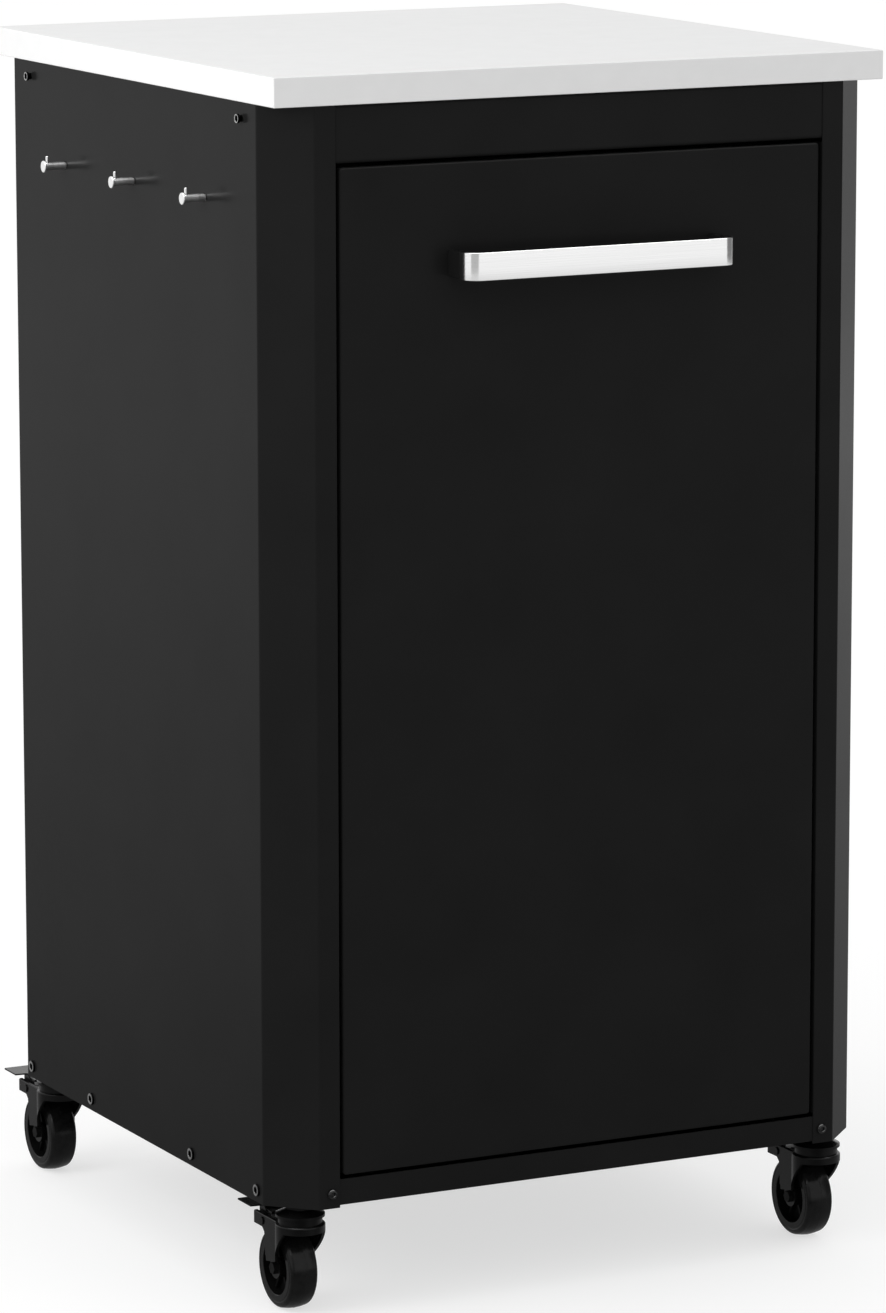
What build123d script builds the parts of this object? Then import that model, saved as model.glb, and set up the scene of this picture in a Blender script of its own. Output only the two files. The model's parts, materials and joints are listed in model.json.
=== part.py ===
"""Outdoor kitchen unit: a folded sheet cabinet on braked swivel casters, with a tall pull-out front.

The origin is on the floor under the middle of the worktop. +X is to the right of someone facing
the front, the front faces -Y, and +Z is up. All sizes are in millimetres.
"""

import math
import os

from build123d import *

os.makedirs("parts", exist_ok=True)

# Worktop
worktop_width = 500.0
worktop_depth = 506.0
worktop_thickness = 21.6
worktop_edge = 0.8
unit_height = 916.0

# Cabinet shell, folded from sheet, with the corners cut off at 45 degrees
sheet = 1.2
bend_radius = 3.0
side_overhang = 1.9
front_overhang = 2.5
corner_cut = 31.2
flange_width = 16.8
lip_depth = 15.0
lip_edge = 0.9
floor_clearance = 85.4

# Floor tray of the cabinet, whose front wall shows as the bottom rail
base_lift = 1.0
base_sheet = 1.5
base_bend = 2.5
base_flange = 20.0

# Rails under the worktop
top_rail_height = 42.2
top_rail_lip = 14.0
top_plate_depth = 75.0
end_tab_height = 26.0
end_tab_setback = 5.0
rail_lap = 10.0

# Back panel with its vent slots
back_sheet = 1.0
back_lap = 12.0
back_gap = 1.0
vent_length = 60.0
vent_width = 6.0
vent_pitch_across = 78.0
vent_pitch_up = 16.0
vent_columns = 4
vent_rows = 3
vent_rise = 60.0

# Front of the pull-out: a pan closed from behind by a flat panel
front_gap = 2.8
front_thickness = 20.0
front_sheet = 1.0
front_bend = 2.5
inner_sheet = 1.2
inner_fit = 0.1

# Handle: a bent flat bar with a thin cover over its front and bends
handle_span = 223.0
handle_reach = 33.0
handle_height = 20.2
handle_thickness = 7.0
handle_bend = 11.5
handle_drop = 72.6
cover_sheet = 1.0
cover_lap = 1.5
cover_rim = 0.3

# Tool hooks in a row on the left side
hook_diameter = 9.0
hook_length = 18.5
hook_tip_round = 0.6
hook_neck_diameter = 7.6
hook_neck_length = 0.7
hook_stud_diameter = 6.0
hook_stud_length = 10.0
hook_pin_diameter = 2.8
hook_pin_height = 4.3
hook_pin_inset = 3.5
hook_pitch = 126.5
hook_row_shift = -4.0
hook_drop = 74.9
hook_nut_flats = 10.0
hook_nut_height = 5.0

# Tray of the pull-out and the gussets that tie it to the front
tray_depth = 415.0
tray_wall = 55.0
tray_sheet = 1.2
tray_corner = 4.0
tray_bend = 2.5
tray_lift = 4.6
gusset_sheet = 2.0
gusset_height = 220.0
gusset_flange = 25.0
gusset_tip = 25.0
gusset_clearance = 5.0
gusset_gap = 1.0

# Telescopic runners: three nested channels with ball cages between them
runner_height = 45.0
runner_thickness = 13.0
runner_sheet = 1.2
runner_bend = 2.0
runner_length = 440.0
runner_setback = 4.5
runner_inset = 22.1
runner_head_room = 1.4
outer_depth = 9.5
middle_depth = 8.0
inner_depth = 8.4
ball_space = 4.0
cage_length = 180.0
cage_margin = 1.2
middle_shortening = 10.0
bracket_sheet = 2.0
bracket_bend = 3.0
bracket_foot = 25.0
bracket_rise = 2.5

# Fasteners
screw_diameter = 5.0
screw_length = 10.0
screw_head_diameter = 9.5
screw_head_height = 2.7
screw_rim_height = 0.9
screw_crown_diameter = 5.0
socket_flats = 3.0
socket_depth = 1.5
stud_stand = 1.9
stud_head_diameter = 6.8
stud_head_height = 2.1
low_head_diameter = 8.0
low_head_height = 1.0
hole_play = 0.1
base_screw_end_inset = 41.5
base_screw_mid_inset = 157.5
base_screw_rise = 9.3
top_screw_inset = 59.5
top_screw_drop = 12.0
top_screw_shift = -3.2
flange_screw_inset = 6.9
flange_screw_rise = 11.1
back_screw_margin = 34.0
back_screws_per_side = 4
worktop_screw_spacing = 300.0
worktop_screw_inset = 46.0
bracket_rivets_per_side = 4
runner_screws_per_side = 3
runner_end_margin = 40.0
tray_screw_margin = 45.0
tray_screws_per_side = 4
gusset_screws_per_side = 3
gusset_screw_margin = 18.0

# Casters: threaded stem, swivel head, stamped fork, wheel and brake pedal
running_gap = 0.3
caster_inset = 28.7
caster_trail = 21.0
wheel_diameter = 62.0
wheel_width = 22.0
tread_round = 2.5
tyre_depth = 5.5
rim_depth = 5.0
rim_width = 20.0
hub_diameter = 15.0
hub_width = 16.4
web_thickness = 5.0
spoke_count = 6
spoke_width = 2.4
spoke_height = 11.0
axle_diameter = 5.0
axle_hex = 8.0
axle_head = 2.8
stem_diameter = 10.0
stem_length = 13.0
stem_nut_flats = 17.0
stem_nut_height = 8.0
collar_flats = 19.0
race_diameter = 36.8
race_rim = 2.0
race_height = 5.8
cup_diameter = 33.0
cup_height = 4.9
crown_gap = 8.0
king_pin_diameter = 8.0
king_head_diameter = 13.0
king_head_height = 3.0
fork_sheet = 2.2
fork_width = 30.0
fork_cap_diameter = 37.4
fork_round = 1.4
fork_skirt = 6.0
shoulder_ahead = 7.5
shoulder_rise = 4.0
leg_ahead = 12.0
leg_behind = 6.5
leg_end = 8.0
leg_slant = 3.5
jog_bend = 1.5
jog_top = 8.6
jog_bottom = 5.2
tab_radius = 8.0
ear_reach = 27.0
ear_height = 10.0
ear_round = 3.0
pedal_ahead = 4.0
pivot_behind = 13.0
pivot_drop = 5.5
pivot_diameter = 4.0
pivot_head_diameter = 6.0
pivot_head_height = 0.8
pedal_sheet = 2.0
pedal_width = 22.6
pedal_flare = 42.0
pedal_taper = 10.0
pedal_reach = 43.0
pedal_rise = 5.0
pedal_clearance = 1.0
cheek_sheet = 2.2
cheek_round = 3.8
shoe_reach = 12.0
shoe_drop = 5.2

# Levels and faces worked out from the sizes above
half_width = worktop_width / 2 - side_overhang
half_depth = worktop_depth / 2 - front_overhang
shell_top = unit_height - worktop_thickness
shell_height = shell_top - floor_clearance
flange_edge = half_width - corner_cut - flange_width
inside_width = half_width - sheet
inside_depth = half_depth - sheet
inside_cut = corner_cut - sheet * (2 - math.sqrt(2))
base_bottom = floor_clearance + base_lift
base_floor = base_bottom + base_sheet
base_top = base_bottom + base_flange
rail_bottom = shell_top - top_rail_height
front_bottom = base_top + front_gap
front_top = rail_bottom - front_gap
front_half = flange_edge - front_gap
front_height = front_top - front_bottom
front_back = -half_depth + front_thickness
handle_level = front_top - handle_drop
hook_level = shell_top - hook_drop
tray_bottom = base_top + tray_lift
tray_top = tray_bottom + tray_wall
runner_face = flange_edge - runner_inset
tray_half = runner_face - runner_thickness
runner_level = tray_bottom + tray_wall / 2
runner_front = front_back + runner_setback
runner_back = runner_front + runner_length
middle_web = runner_sheet + runner_head_room
middle_height = runner_height - 2 * (runner_sheet + ball_space)
inner_height = middle_height - 2 * (runner_sheet + ball_space)
screw_hole = screw_diameter / 2 + hole_play
base_screw_level = floor_clearance + base_screw_rise
top_screw_level = shell_top - top_screw_drop
flange_screw_level = floor_clearance + flange_screw_rise
flange_screw_x = flange_edge + flange_screw_inset
base_screw_ys = [
    s * (half_depth - inset)
    for inset in (base_screw_end_inset, base_screw_mid_inset)
    for s in (-1, 1)
]
ends = {"front": -1, "rear": 1}
top_screw_ys = {
    end: facing * (half_depth - top_screw_inset) + top_screw_shift for end, facing in ends.items()
}
hook_ys = [hook_row_shift + step * hook_pitch for step in (-1, 0, 1)]
caster_x = half_width - caster_inset
caster_y = half_depth - caster_inset
caster_spots = {
    "fl": (-caster_x, -caster_y),
    "fr": (caster_x, -caster_y),
    "rl": (-caster_x, caster_y),
    "rr": (caster_x, caster_y),
}
sides = {"left": -1, "right": 1}


def keep(piece, node):
    """Label a finished piece and write it as its own file."""
    piece.part.label = node
    export_step(piece.part, f"parts/{node}.step")


def spread(count, low, high):
    """Evenly spaced values from low to high, both included."""
    return [low + (high - low) * step / (count - 1) for step in range(count)]


def left_of(sign):
    """The left side of a line on the right-hand piece, which is the right side on its mirror image."""
    return Side.LEFT if sign > 0 else Side.RIGHT


def folded(points, radius, thickness, side):
    """Section of a folded sheet: a line with rounded bends, given its thickness on one side."""
    with BuildSketch() as section:
        with BuildLine():
            FilletPolyline(*points, radius=radius)
            offset(amount=thickness, side=side)
        make_face()
    return section.sketch


def across(low, high):
    """Plane and length for a section in X and Z that runs from low to high along Y."""
    return Plane.XZ.offset(-high), high - low


# Screw masters: the head stands on the XY plane and the shank points down
with BuildPart() as button_screw:
    with BuildSketch(Plane.XZ):
        with BuildLine():
            Polyline(
                (0, screw_head_height),
                (0, -screw_length),
                (screw_diameter / 2, -screw_length),
                (screw_diameter / 2, 0),
                (screw_head_diameter / 2, 0),
                (screw_head_diameter / 2, screw_rim_height),
                (screw_crown_diameter / 2, screw_head_height),
                close=True,
            )
        make_face()
    revolve(axis=Axis.Z)
    with BuildSketch(Plane.XY.offset(screw_head_height)):
        RegularPolygon(radius=socket_flats / 2, side_count=6, major_radius=False)
    extrude(amount=-socket_depth, mode=Mode.SUBTRACT)

# Hanging stud: a small head held off the face, so that an accessory can hook on behind it
with BuildPart() as hanging_stud:
    with BuildSketch(Plane.XY.offset(-screw_length)):
        Circle(screw_diameter / 2)
    extrude(amount=screw_length + stud_stand)
    with BuildSketch(Plane.XY.offset(stud_stand)):
        Circle(stud_head_diameter / 2)
        RegularPolygon(radius=socket_flats / 2, side_count=6, major_radius=False, mode=Mode.SUBTRACT)
    extrude(amount=stud_head_height)

with BuildPart() as low_screw:
    with BuildSketch():
        Circle(screw_diameter / 2)
    extrude(amount=-screw_length)
    with BuildSketch():
        Circle(low_head_diameter / 2)
    extrude(amount=low_head_height)


def fasteners(node, *sets):
    """Write a group of fasteners: sets of a master and the places that it goes to."""
    with BuildPart() as group:
        for master, places in sets:
            with Locations(*places):
                add(master.part)
    keep(group, node)


# Side panels
base_holes = [(y, base_screw_level) for y in base_screw_ys]
top_holes = [(y, top_screw_level) for y in top_screw_ys.values()]
back_holes = spread(
    back_screws_per_side, base_top + back_screw_margin, rail_bottom - back_screw_margin
)
for name, sign in sides.items():
    shell_line = [
        (sign * flange_edge, -half_depth),
        (sign * (half_width - corner_cut), -half_depth),
        (sign * half_width, corner_cut - half_depth),
        (sign * half_width, half_depth - corner_cut),
        (sign * (half_width - corner_cut), half_depth),
        (sign * flange_edge, half_depth),
    ]
    shell_section = folded(shell_line, bend_radius, sheet, left_of(sign))
    with BuildPart() as side_panel:
        with BuildSketch(Plane.XY.offset(floor_clearance)):
            add(shell_section)
        extrude(amount=shell_height)
        # The lip turned in along the front opening
        with BuildSketch(Plane.XY.offset(front_bottom)):
            with Locations((sign * (flange_edge + sheet / 2), lip_depth / 2 - half_depth)):
                Rectangle(sheet, lip_depth)
        extrude(amount=front_height)
        opening_edge = side_panel.edges().filter_by(Axis.Z).group_by(Axis.Y)[0]
        opening_edge = opening_edge.sort_by(Axis.X)
        fillet(opening_edge[0] if sign > 0 else opening_edge[-1], lip_edge)
        # Screw holes through the side, both flanges and, on the left, the hook holes
        with BuildSketch(Plane.YZ.offset(sign * half_width)):
            with Locations(*base_holes, *top_holes):
                Circle(screw_hole)
            if name == "left":
                with Locations(*[(y, hook_level) for y in hook_ys]):
                    Circle(hook_stud_diameter / 2 + hole_play)
        extrude(amount=2 * sheet, both=True, mode=Mode.SUBTRACT)
        with BuildSketch(Plane.XZ):
            with Locations((sign * flange_screw_x, flange_screw_level)):
                Circle(screw_hole)
        extrude(amount=2 * half_depth, both=True, mode=Mode.SUBTRACT)
        with BuildSketch(Plane.XZ.offset(-half_depth)):
            with Locations(*[(sign * flange_screw_x, z) for z in back_holes]):
                Circle(screw_hole)
        extrude(amount=2 * sheet, both=True, mode=Mode.SUBTRACT)
    keep(side_panel, f"side_panel_{name}")

# Floor tray of the cabinet
runner_foot_x = runner_face + bracket_sheet + (bracket_foot - bracket_sheet) / 2
runner_screw_range = (runner_front + runner_end_margin, runner_back - runner_end_margin)
rivet_ys = spread(bracket_rivets_per_side, *runner_screw_range)
rivet_spots = [(s * runner_foot_x, y) for s in (-1, 1) for y in rivet_ys]
with BuildPart() as base_pan:
    with BuildSketch(Plane.XY.offset(base_bottom)) as base_outline:
        Rectangle(2 * inside_width, 2 * inside_depth)
        chamfer(base_outline.vertices(), inside_cut)
        fillet(base_outline.vertices(), bend_radius)
    extrude(amount=base_flange)
    fillet(base_pan.faces().sort_by(Axis.Z)[0].edges(), base_bend)
    offset(amount=-base_sheet, openings=base_pan.faces().sort_by(Axis.Z)[-1])
    with BuildSketch(Plane.XY.offset(base_bottom)):
        with Locations(*caster_spots.values()):
            Circle(stem_diameter / 2 + hole_play)
        with Locations(*rivet_spots):
            Circle(screw_hole)
    extrude(amount=2 * base_sheet, mode=Mode.SUBTRACT)
    with BuildSketch(Plane.YZ):
        with Locations(*[(y, base_screw_level) for y in base_screw_ys]):
            Circle(screw_hole)
    extrude(amount=half_width, both=True, mode=Mode.SUBTRACT)
    with BuildSketch(Plane.XZ):
        with Locations(*[(s * flange_screw_x, flange_screw_level) for s in (-1, 1)]):
            Circle(screw_hole)
    extrude(amount=half_depth, both=True, mode=Mode.SUBTRACT)
keep(base_pan, "base_pan")

# Rails under the worktop: a folded fascia whose top plate reaches out to tabs on the side panels
rail_half = flange_edge + rail_lap
worktop_screw_y = half_depth - worktop_screw_inset
worktop_screw_x = worktop_screw_spacing / 2
worktop_spots = [(s * worktop_screw_x, t * worktop_screw_y) for s in (-1, 1) for t in (-1, 1)]
for name, facing in ends.items():
    top_plate_end = facing * (inside_depth - top_plate_depth)
    tab_start = facing * (half_depth - corner_cut - end_tab_setback)
    rail_line = [
        (facing * (inside_depth - top_rail_lip), rail_bottom),
        (facing * inside_depth, rail_bottom),
        (facing * inside_depth, shell_top),
        (top_plate_end, shell_top),
    ]
    rail_section = folded(rail_line, bend_radius, sheet, left_of(facing))
    tab_sections = [
        folded(
            [
                (sign * inside_width, shell_top - end_tab_height),
                (sign * inside_width, shell_top),
                (sign * (rail_half - rail_lap), shell_top),
            ],
            bend_radius,
            sheet,
            left_of(sign),
        )
        for sign in sides.values()
    ]
    tab_plane, tab_width = across(*sorted((top_plate_end, tab_start)))
    with BuildPart() as top_rail:
        with BuildSketch(Plane.YZ):
            add(rail_section)
        extrude(amount=rail_half, both=True)
        with BuildSketch(tab_plane):
            add(tab_sections)
        extrude(amount=tab_width)
        with BuildSketch(Plane.YZ):
            with Locations((top_screw_ys[name], top_screw_level)):
                Circle(screw_hole)
        extrude(amount=half_width, both=True, mode=Mode.SUBTRACT)
        with BuildSketch(Plane.XY.offset(shell_top)):
            with Locations(*worktop_spots):
                Circle(screw_hole)
        extrude(amount=2 * sheet, both=True, mode=Mode.SUBTRACT)
    keep(top_rail, f"top_{name}_rail")

# Worktop, with blind holes for the screws from below
with BuildPart() as worktop:
    with BuildSketch(Plane.XY.offset(shell_top)):
        Rectangle(worktop_width, worktop_depth)
    extrude(amount=worktop_thickness)
    fillet(worktop.edges(), worktop_edge)
    with BuildSketch(Plane.XY.offset(shell_top)):
        with Locations(*worktop_spots):
            Circle(screw_hole)
    extrude(amount=screw_length, mode=Mode.SUBTRACT)
keep(worktop, "worktop")

# Back panel
back_half = flange_edge + back_lap
back_low = base_top + back_gap
back_high = rail_bottom - back_gap
back_plane, back_depth = across(inside_depth - back_sheet, inside_depth)
with BuildPart() as back_panel:
    with BuildSketch(back_plane):
        with Locations((0, (back_low + back_high) / 2)):
            Rectangle(2 * back_half, back_high - back_low)
        with Locations(*[(s * flange_screw_x, z) for s in (-1, 1) for z in back_holes]):
            Circle(screw_hole, mode=Mode.SUBTRACT)
        with Locations((0, back_low + vent_rise)):
            with GridLocations(vent_pitch_across, vent_pitch_up, vent_columns, vent_rows):
                SlotOverall(vent_length, vent_width, mode=Mode.SUBTRACT)
    extrude(amount=back_depth)
keep(back_panel, "back_panel")

# Tool hooks and the nuts behind them
for name, y in zip(("front", "middle", "rear"), hook_ys):
    with BuildPart() as tool_hook:
        with BuildSketch(Plane.YZ.offset(-half_width - hook_neck_length)):
            with Locations((y, hook_level)):
                Circle(hook_diameter / 2)
        extrude(amount=hook_neck_length - hook_length)
        fillet(tool_hook.faces().sort_by(Axis.X)[0].edges(), hook_tip_round)
        with BuildSketch(Plane.YZ.offset(-half_width)):
            with Locations((y, hook_level)):
                Circle(hook_neck_diameter / 2)
        extrude(amount=-hook_neck_length)
        with BuildSketch(Plane.YZ.offset(-half_width)):
            with Locations((y, hook_level)):
                Circle(hook_stud_diameter / 2)
        extrude(amount=hook_stud_length)
        with BuildSketch(Plane.XY.offset(hook_level)):
            with Locations((hook_pin_inset - half_width - hook_length, y)):
                Circle(hook_pin_diameter / 2)
        extrude(amount=hook_diameter / 2 + hook_pin_height)
    keep(tool_hook, f"tool_hook_{name}")

with BuildPart() as hook_nuts:
    with BuildSketch(Plane.YZ.offset(-inside_width)):
        with Locations(*[(y, hook_level) for y in hook_ys]):
            RegularPolygon(radius=hook_nut_flats / 2, side_count=6, major_radius=False)
            Circle(hook_stud_diameter / 2 + hole_play, mode=Mode.SUBTRACT)
    extrude(amount=hook_nut_height)
keep(hook_nuts, "hook_nuts")

# Runner brackets, and the three members of each runner
bracket_top = runner_level + runner_height / 2 + bracket_rise
runner_screw_ys = spread(runner_screws_per_side, *runner_screw_range)
tray_back = front_back + tray_depth
tray_screw_ys = spread(tray_screws_per_side, front_back + tray_screw_margin, tray_back - tray_screw_margin)
runner_plane, runner_span = across(runner_front, runner_back)
middle_plane, middle_span = across(runner_front, runner_back - middle_shortening)
cage_middle = (runner_front + runner_back - middle_shortening) / 2
cage_plane, cage_span = across(cage_middle - cage_length / 2, cage_middle + cage_length / 2)


def channel(sign, web, lips, height):
    """Line of a runner channel: its web lies web from the bracket, and its lips end at the value lips."""
    web_x = sign * (runner_face - web)
    lip_x = sign * (runner_face - lips)
    return [
        (lip_x, runner_level + height / 2),
        (web_x, runner_level + height / 2),
        (web_x, runner_level - height / 2),
        (lip_x, runner_level - height / 2),
    ]


for name, sign in sides.items():
    bracket_line = [
        (sign * runner_face, bracket_top),
        (sign * runner_face, base_floor),
        (sign * (runner_face + bracket_foot), base_floor),
    ]
    bracket_section = folded(bracket_line, bracket_bend, bracket_sheet, left_of(sign))
    with BuildPart() as runner_bracket:
        with BuildSketch(runner_plane):
            add(bracket_section)
        extrude(amount=runner_span)
        with BuildSketch(Plane.XY.offset(base_floor)):
            with Locations(*[(sign * runner_foot_x, y) for y in rivet_ys]):
                Circle(screw_hole)
        extrude(amount=2 * bracket_sheet, both=True, mode=Mode.SUBTRACT)
        with BuildSketch(Plane.YZ.offset(sign * runner_face)):
            with Locations(*[(y, runner_level) for y in runner_screw_ys]):
                Circle(screw_hole)
        extrude(amount=2 * bracket_sheet, both=True, mode=Mode.SUBTRACT)
    keep(runner_bracket, f"runner_bracket_{name}")

    outer_section = folded(
        channel(sign, 0, outer_depth, runner_height), runner_bend, runner_sheet, left_of(-sign)
    )
    with BuildPart() as runner_outer:
        with BuildSketch(runner_plane):
            add(outer_section)
        extrude(amount=runner_span)
        with BuildSketch(Plane.YZ.offset(sign * runner_face)):
            with Locations(*[(y, runner_level) for y in runner_screw_ys]):
                Circle(screw_hole)
        extrude(amount=2 * runner_sheet, both=True, mode=Mode.SUBTRACT)
    keep(runner_outer, f"runner_outer_{name}")

    middle_lips = middle_web + middle_depth
    middle_section = folded(
        channel(sign, middle_web, middle_lips, middle_height), runner_bend, runner_sheet, left_of(-sign)
    )
    inner_lips = runner_thickness - inner_depth
    outer_cage_low = middle_height / 2
    outer_cage_high = runner_height / 2 - runner_sheet - running_gap
    outer_cage_depth = outer_depth - middle_web - 2 * cage_margin
    inner_cage_low = inner_height / 2 + running_gap
    inner_cage_high = middle_height / 2 - runner_sheet
    inner_cage_depth = middle_lips - inner_lips - 2 * cage_margin
    outer_cage_x = sign * (runner_face - (middle_web + outer_depth) / 2)
    inner_cage_x = sign * (runner_face - (inner_lips + middle_lips) / 2)
    with BuildPart() as runner_middle:
        with BuildSketch(middle_plane):
            add(middle_section)
        extrude(amount=middle_span)
        with BuildSketch(cage_plane):
            for up in (-1, 1):
                with Locations((outer_cage_x, runner_level + up * (outer_cage_high + outer_cage_low) / 2)):
                    Rectangle(outer_cage_depth, outer_cage_high - outer_cage_low)
                with Locations((inner_cage_x, runner_level + up * (inner_cage_high + inner_cage_low) / 2)):
                    Rectangle(inner_cage_depth, inner_cage_high - inner_cage_low)
        extrude(amount=cage_span)
    keep(runner_middle, f"runner_middle_{name}")

    inner_section = folded(
        channel(sign, runner_thickness, inner_lips, inner_height), runner_bend, runner_sheet, left_of(sign)
    )
    with BuildPart() as runner_inner:
        with BuildSketch(runner_plane):
            add(inner_section)
        extrude(amount=runner_span)
        with BuildSketch(Plane.YZ.offset(sign * tray_half)):
            with Locations(*[(y, runner_level) for y in tray_screw_ys]):
                Circle(screw_hole)
        extrude(amount=2 * runner_sheet, both=True, mode=Mode.SUBTRACT)
    keep(runner_inner, f"runner_inner_{name}")

# Tray of the pull-out
with BuildPart() as drawer_tray:
    with BuildSketch(Plane.XY.offset(tray_bottom)):
        with Locations((0, front_back + tray_depth / 2)):
            RectangleRounded(2 * tray_half, tray_depth, tray_corner)
    extrude(amount=tray_wall)
    fillet(drawer_tray.faces().sort_by(Axis.Z)[0].edges(), tray_bend)
    offset(amount=-tray_sheet, openings=drawer_tray.faces().sort_by(Axis.Z)[-1])
    with BuildSketch(Plane.YZ):
        with Locations(*[(y, runner_level) for y in tray_screw_ys]):
            Circle(screw_hole)
    extrude(amount=tray_half, both=True, mode=Mode.SUBTRACT)
keep(drawer_tray, "drawer_tray")

# Gussets: a plate inside the tray wall, with a flange on the front above the rim
gusset_face = tray_half - tray_sheet
gusset_low = tray_bottom + tray_sheet + gusset_clearance
gusset_top = tray_bottom + gusset_height
gusset_foot = tray_top + gusset_gap
gusset_screw_levels = spread(
    gusset_screws_per_side, gusset_foot + gusset_screw_margin, gusset_top - gusset_screw_margin
)
gusset_screw_x = gusset_face - gusset_sheet - (gusset_flange - gusset_sheet) / 2
gusset_end = (tray_screw_ys[1] + tray_screw_ys[2]) / 2
for name, sign in sides.items():
    with BuildPart() as tray_bracket:
        with BuildSketch(Plane.YZ.offset(sign * gusset_face)):
            with BuildLine():
                Polyline(
                    (front_back, gusset_foot),
                    (front_back, gusset_top),
                    (front_back + gusset_tip, gusset_top),
                    (gusset_end, gusset_low + gusset_tip),
                    (gusset_end, gusset_low),
                    (front_back + gusset_clearance, gusset_low),
                    (front_back + gusset_clearance, gusset_foot),
                    close=True,
                )
            make_face()
            with Locations(*[(y, runner_level) for y in tray_screw_ys if y < gusset_end]):
                Circle(screw_hole, mode=Mode.SUBTRACT)
        extrude(amount=-sign * gusset_sheet)
        with BuildSketch(Plane.XZ.offset(-front_back)):
            with Locations((sign * (gusset_face - gusset_flange / 2), (gusset_foot + gusset_top) / 2)):
                Rectangle(gusset_flange, gusset_top - gusset_foot)
            with Locations(*[(sign * gusset_screw_x, z) for z in gusset_screw_levels]):
                Circle(screw_hole, mode=Mode.SUBTRACT)
        extrude(amount=-gusset_sheet)
    keep(tray_bracket, f"tray_bracket_{name}")

# Front of the pull-out: outer pan and inner panel
handle_foot_x = handle_span / 2 - cover_sheet - handle_thickness / 2
front_plane, front_span = across(-half_depth, front_back)
with BuildPart() as front_panel:
    with BuildSketch(front_plane):
        with Locations((0, (front_bottom + front_top) / 2)):
            Rectangle(2 * front_half, front_height)
    extrude(amount=front_span)
    fillet(front_panel.edges().filter_by(Axis.Y), front_bend)
    fillet(front_panel.faces().sort_by(Axis.Y)[0].edges(), front_bend - front_sheet / 2)
    offset(amount=-front_sheet, openings=front_panel.faces().sort_by(Axis.Y)[-1])
    with BuildSketch(Plane.XZ.offset(half_depth)):
        with Locations(*[(s * handle_foot_x, handle_level) for s in (-1, 1)]):
            Circle(screw_hole)
    extrude(amount=-2 * front_sheet, mode=Mode.SUBTRACT)
keep(front_panel, "front_panel")

inner_margin = front_sheet + inner_fit
inner_plane, inner_span = across(front_back - inner_sheet, front_back)
with BuildPart() as front_inner_panel:
    with BuildSketch(inner_plane):
        with Locations((0, (front_bottom + front_top) / 2)):
            RectangleRounded(
                2 * (front_half - inner_margin), front_height - 2 * inner_margin, front_bend
            )
        with Locations(*[(s * gusset_screw_x, z) for s in (-1, 1) for z in gusset_screw_levels]):
            Circle(screw_hole, mode=Mode.SUBTRACT)
    extrude(amount=inner_span)
keep(front_inner_panel, "front_inner_panel")

# Handle bar and its cover
bar_half = handle_span / 2 - cover_sheet
bar_front = -half_depth - handle_reach + cover_sheet
bar_height = handle_height - 2 * cover_rim
bar_line = [
    (-bar_half, -half_depth),
    (-bar_half, bar_front),
    (bar_half, bar_front),
    (bar_half, -half_depth),
]
cover_end = bar_front + handle_bend + cover_lap
cover_line = [
    (-bar_half, cover_end),
    (-bar_half, bar_front),
    (bar_half, bar_front),
    (bar_half, cover_end),
]
bar_section = folded(bar_line, handle_bend, handle_thickness, Side.LEFT)
cover_section = folded(cover_line, handle_bend, cover_sheet, Side.RIGHT)
with BuildPart() as handle_bar:
    with BuildSketch(Plane.XY.offset(handle_level - bar_height / 2)):
        add(bar_section)
    extrude(amount=bar_height)
    with BuildSketch(Plane.XZ.offset(half_depth)):
        with Locations(*[(s * handle_foot_x, handle_level) for s in (-1, 1)]):
            Circle(screw_hole)
    extrude(amount=screw_length, mode=Mode.SUBTRACT)
keep(handle_bar, "handle_bar")

with BuildPart() as handle_cover:
    with BuildSketch(Plane.XY.offset(handle_level - handle_height / 2)):
        add(cover_section)
    extrude(amount=handle_height)
keep(handle_cover, "handle_cover")

# Fasteners, each group with its heads on the face that it clamps
facing_right = (0, 90, 0)
facing_left = (0, -90, 0)
facing_front = (90, 0, 0)
facing_back = (-90, 0, 0)
facing_down = (180, 0, 0)
facing_up = (0, 0, 0)
outward = {-1: facing_left, 1: facing_right}
side_heads = {
    row: [Location((s * half_width, y, z), outward[s]) for s in (-1, 1) for y, z in holes]
    for row, holes in (("base", base_holes), ("top", top_holes))
}
flange_heads = [
    Location((s * flange_screw_x, t * half_depth, flange_screw_level), turn)
    for s in (-1, 1)
    for t, turn in ((-1, facing_front), (1, facing_back))
]
back_heads = [Location((s * flange_screw_x, half_depth, z), facing_back) for s in (-1, 1) for z in back_holes]
worktop_heads = [Location((x, y, shell_top - sheet), facing_down) for x, y in worktop_spots]
rivet_heads = [Location((x, y, base_floor + bracket_sheet), facing_up) for x, y in rivet_spots]
runner_heads = [
    Location((s * (runner_face - runner_sheet), y, runner_level), outward[-s])
    for s in (-1, 1)
    for y in runner_screw_ys
]
fasteners("side_screws", (button_screw, side_heads["base"]), (hanging_stud, side_heads["top"]))
fasteners("flange_screws", (button_screw, flange_heads))
fasteners("back_screws", (low_screw, back_heads))
fasteners("worktop_screws", (low_screw, worktop_heads))
fasteners("bracket_rivets", (low_screw, rivet_heads))
fasteners("runner_screws", (low_screw, runner_heads))
gusset_heads = [
    Location((s * gusset_screw_x, front_back + gusset_sheet, z), facing_back)
    for s in (-1, 1)
    for z in gusset_screw_levels
]
wall_heads = [
    Location(
        (s * (gusset_face - (gusset_sheet if y < gusset_end else 0)), y, runner_level), outward[-s]
    )
    for s in (-1, 1)
    for y in tray_screw_ys
]
handle_heads = [
    Location((s * handle_foot_x, front_sheet - half_depth, handle_level), facing_back)
    for s in (-1, 1)
]
fasteners("tray_screws", (low_screw, gusset_heads + wall_heads))
fasteners("handle_screws", (low_screw, handle_heads))
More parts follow.
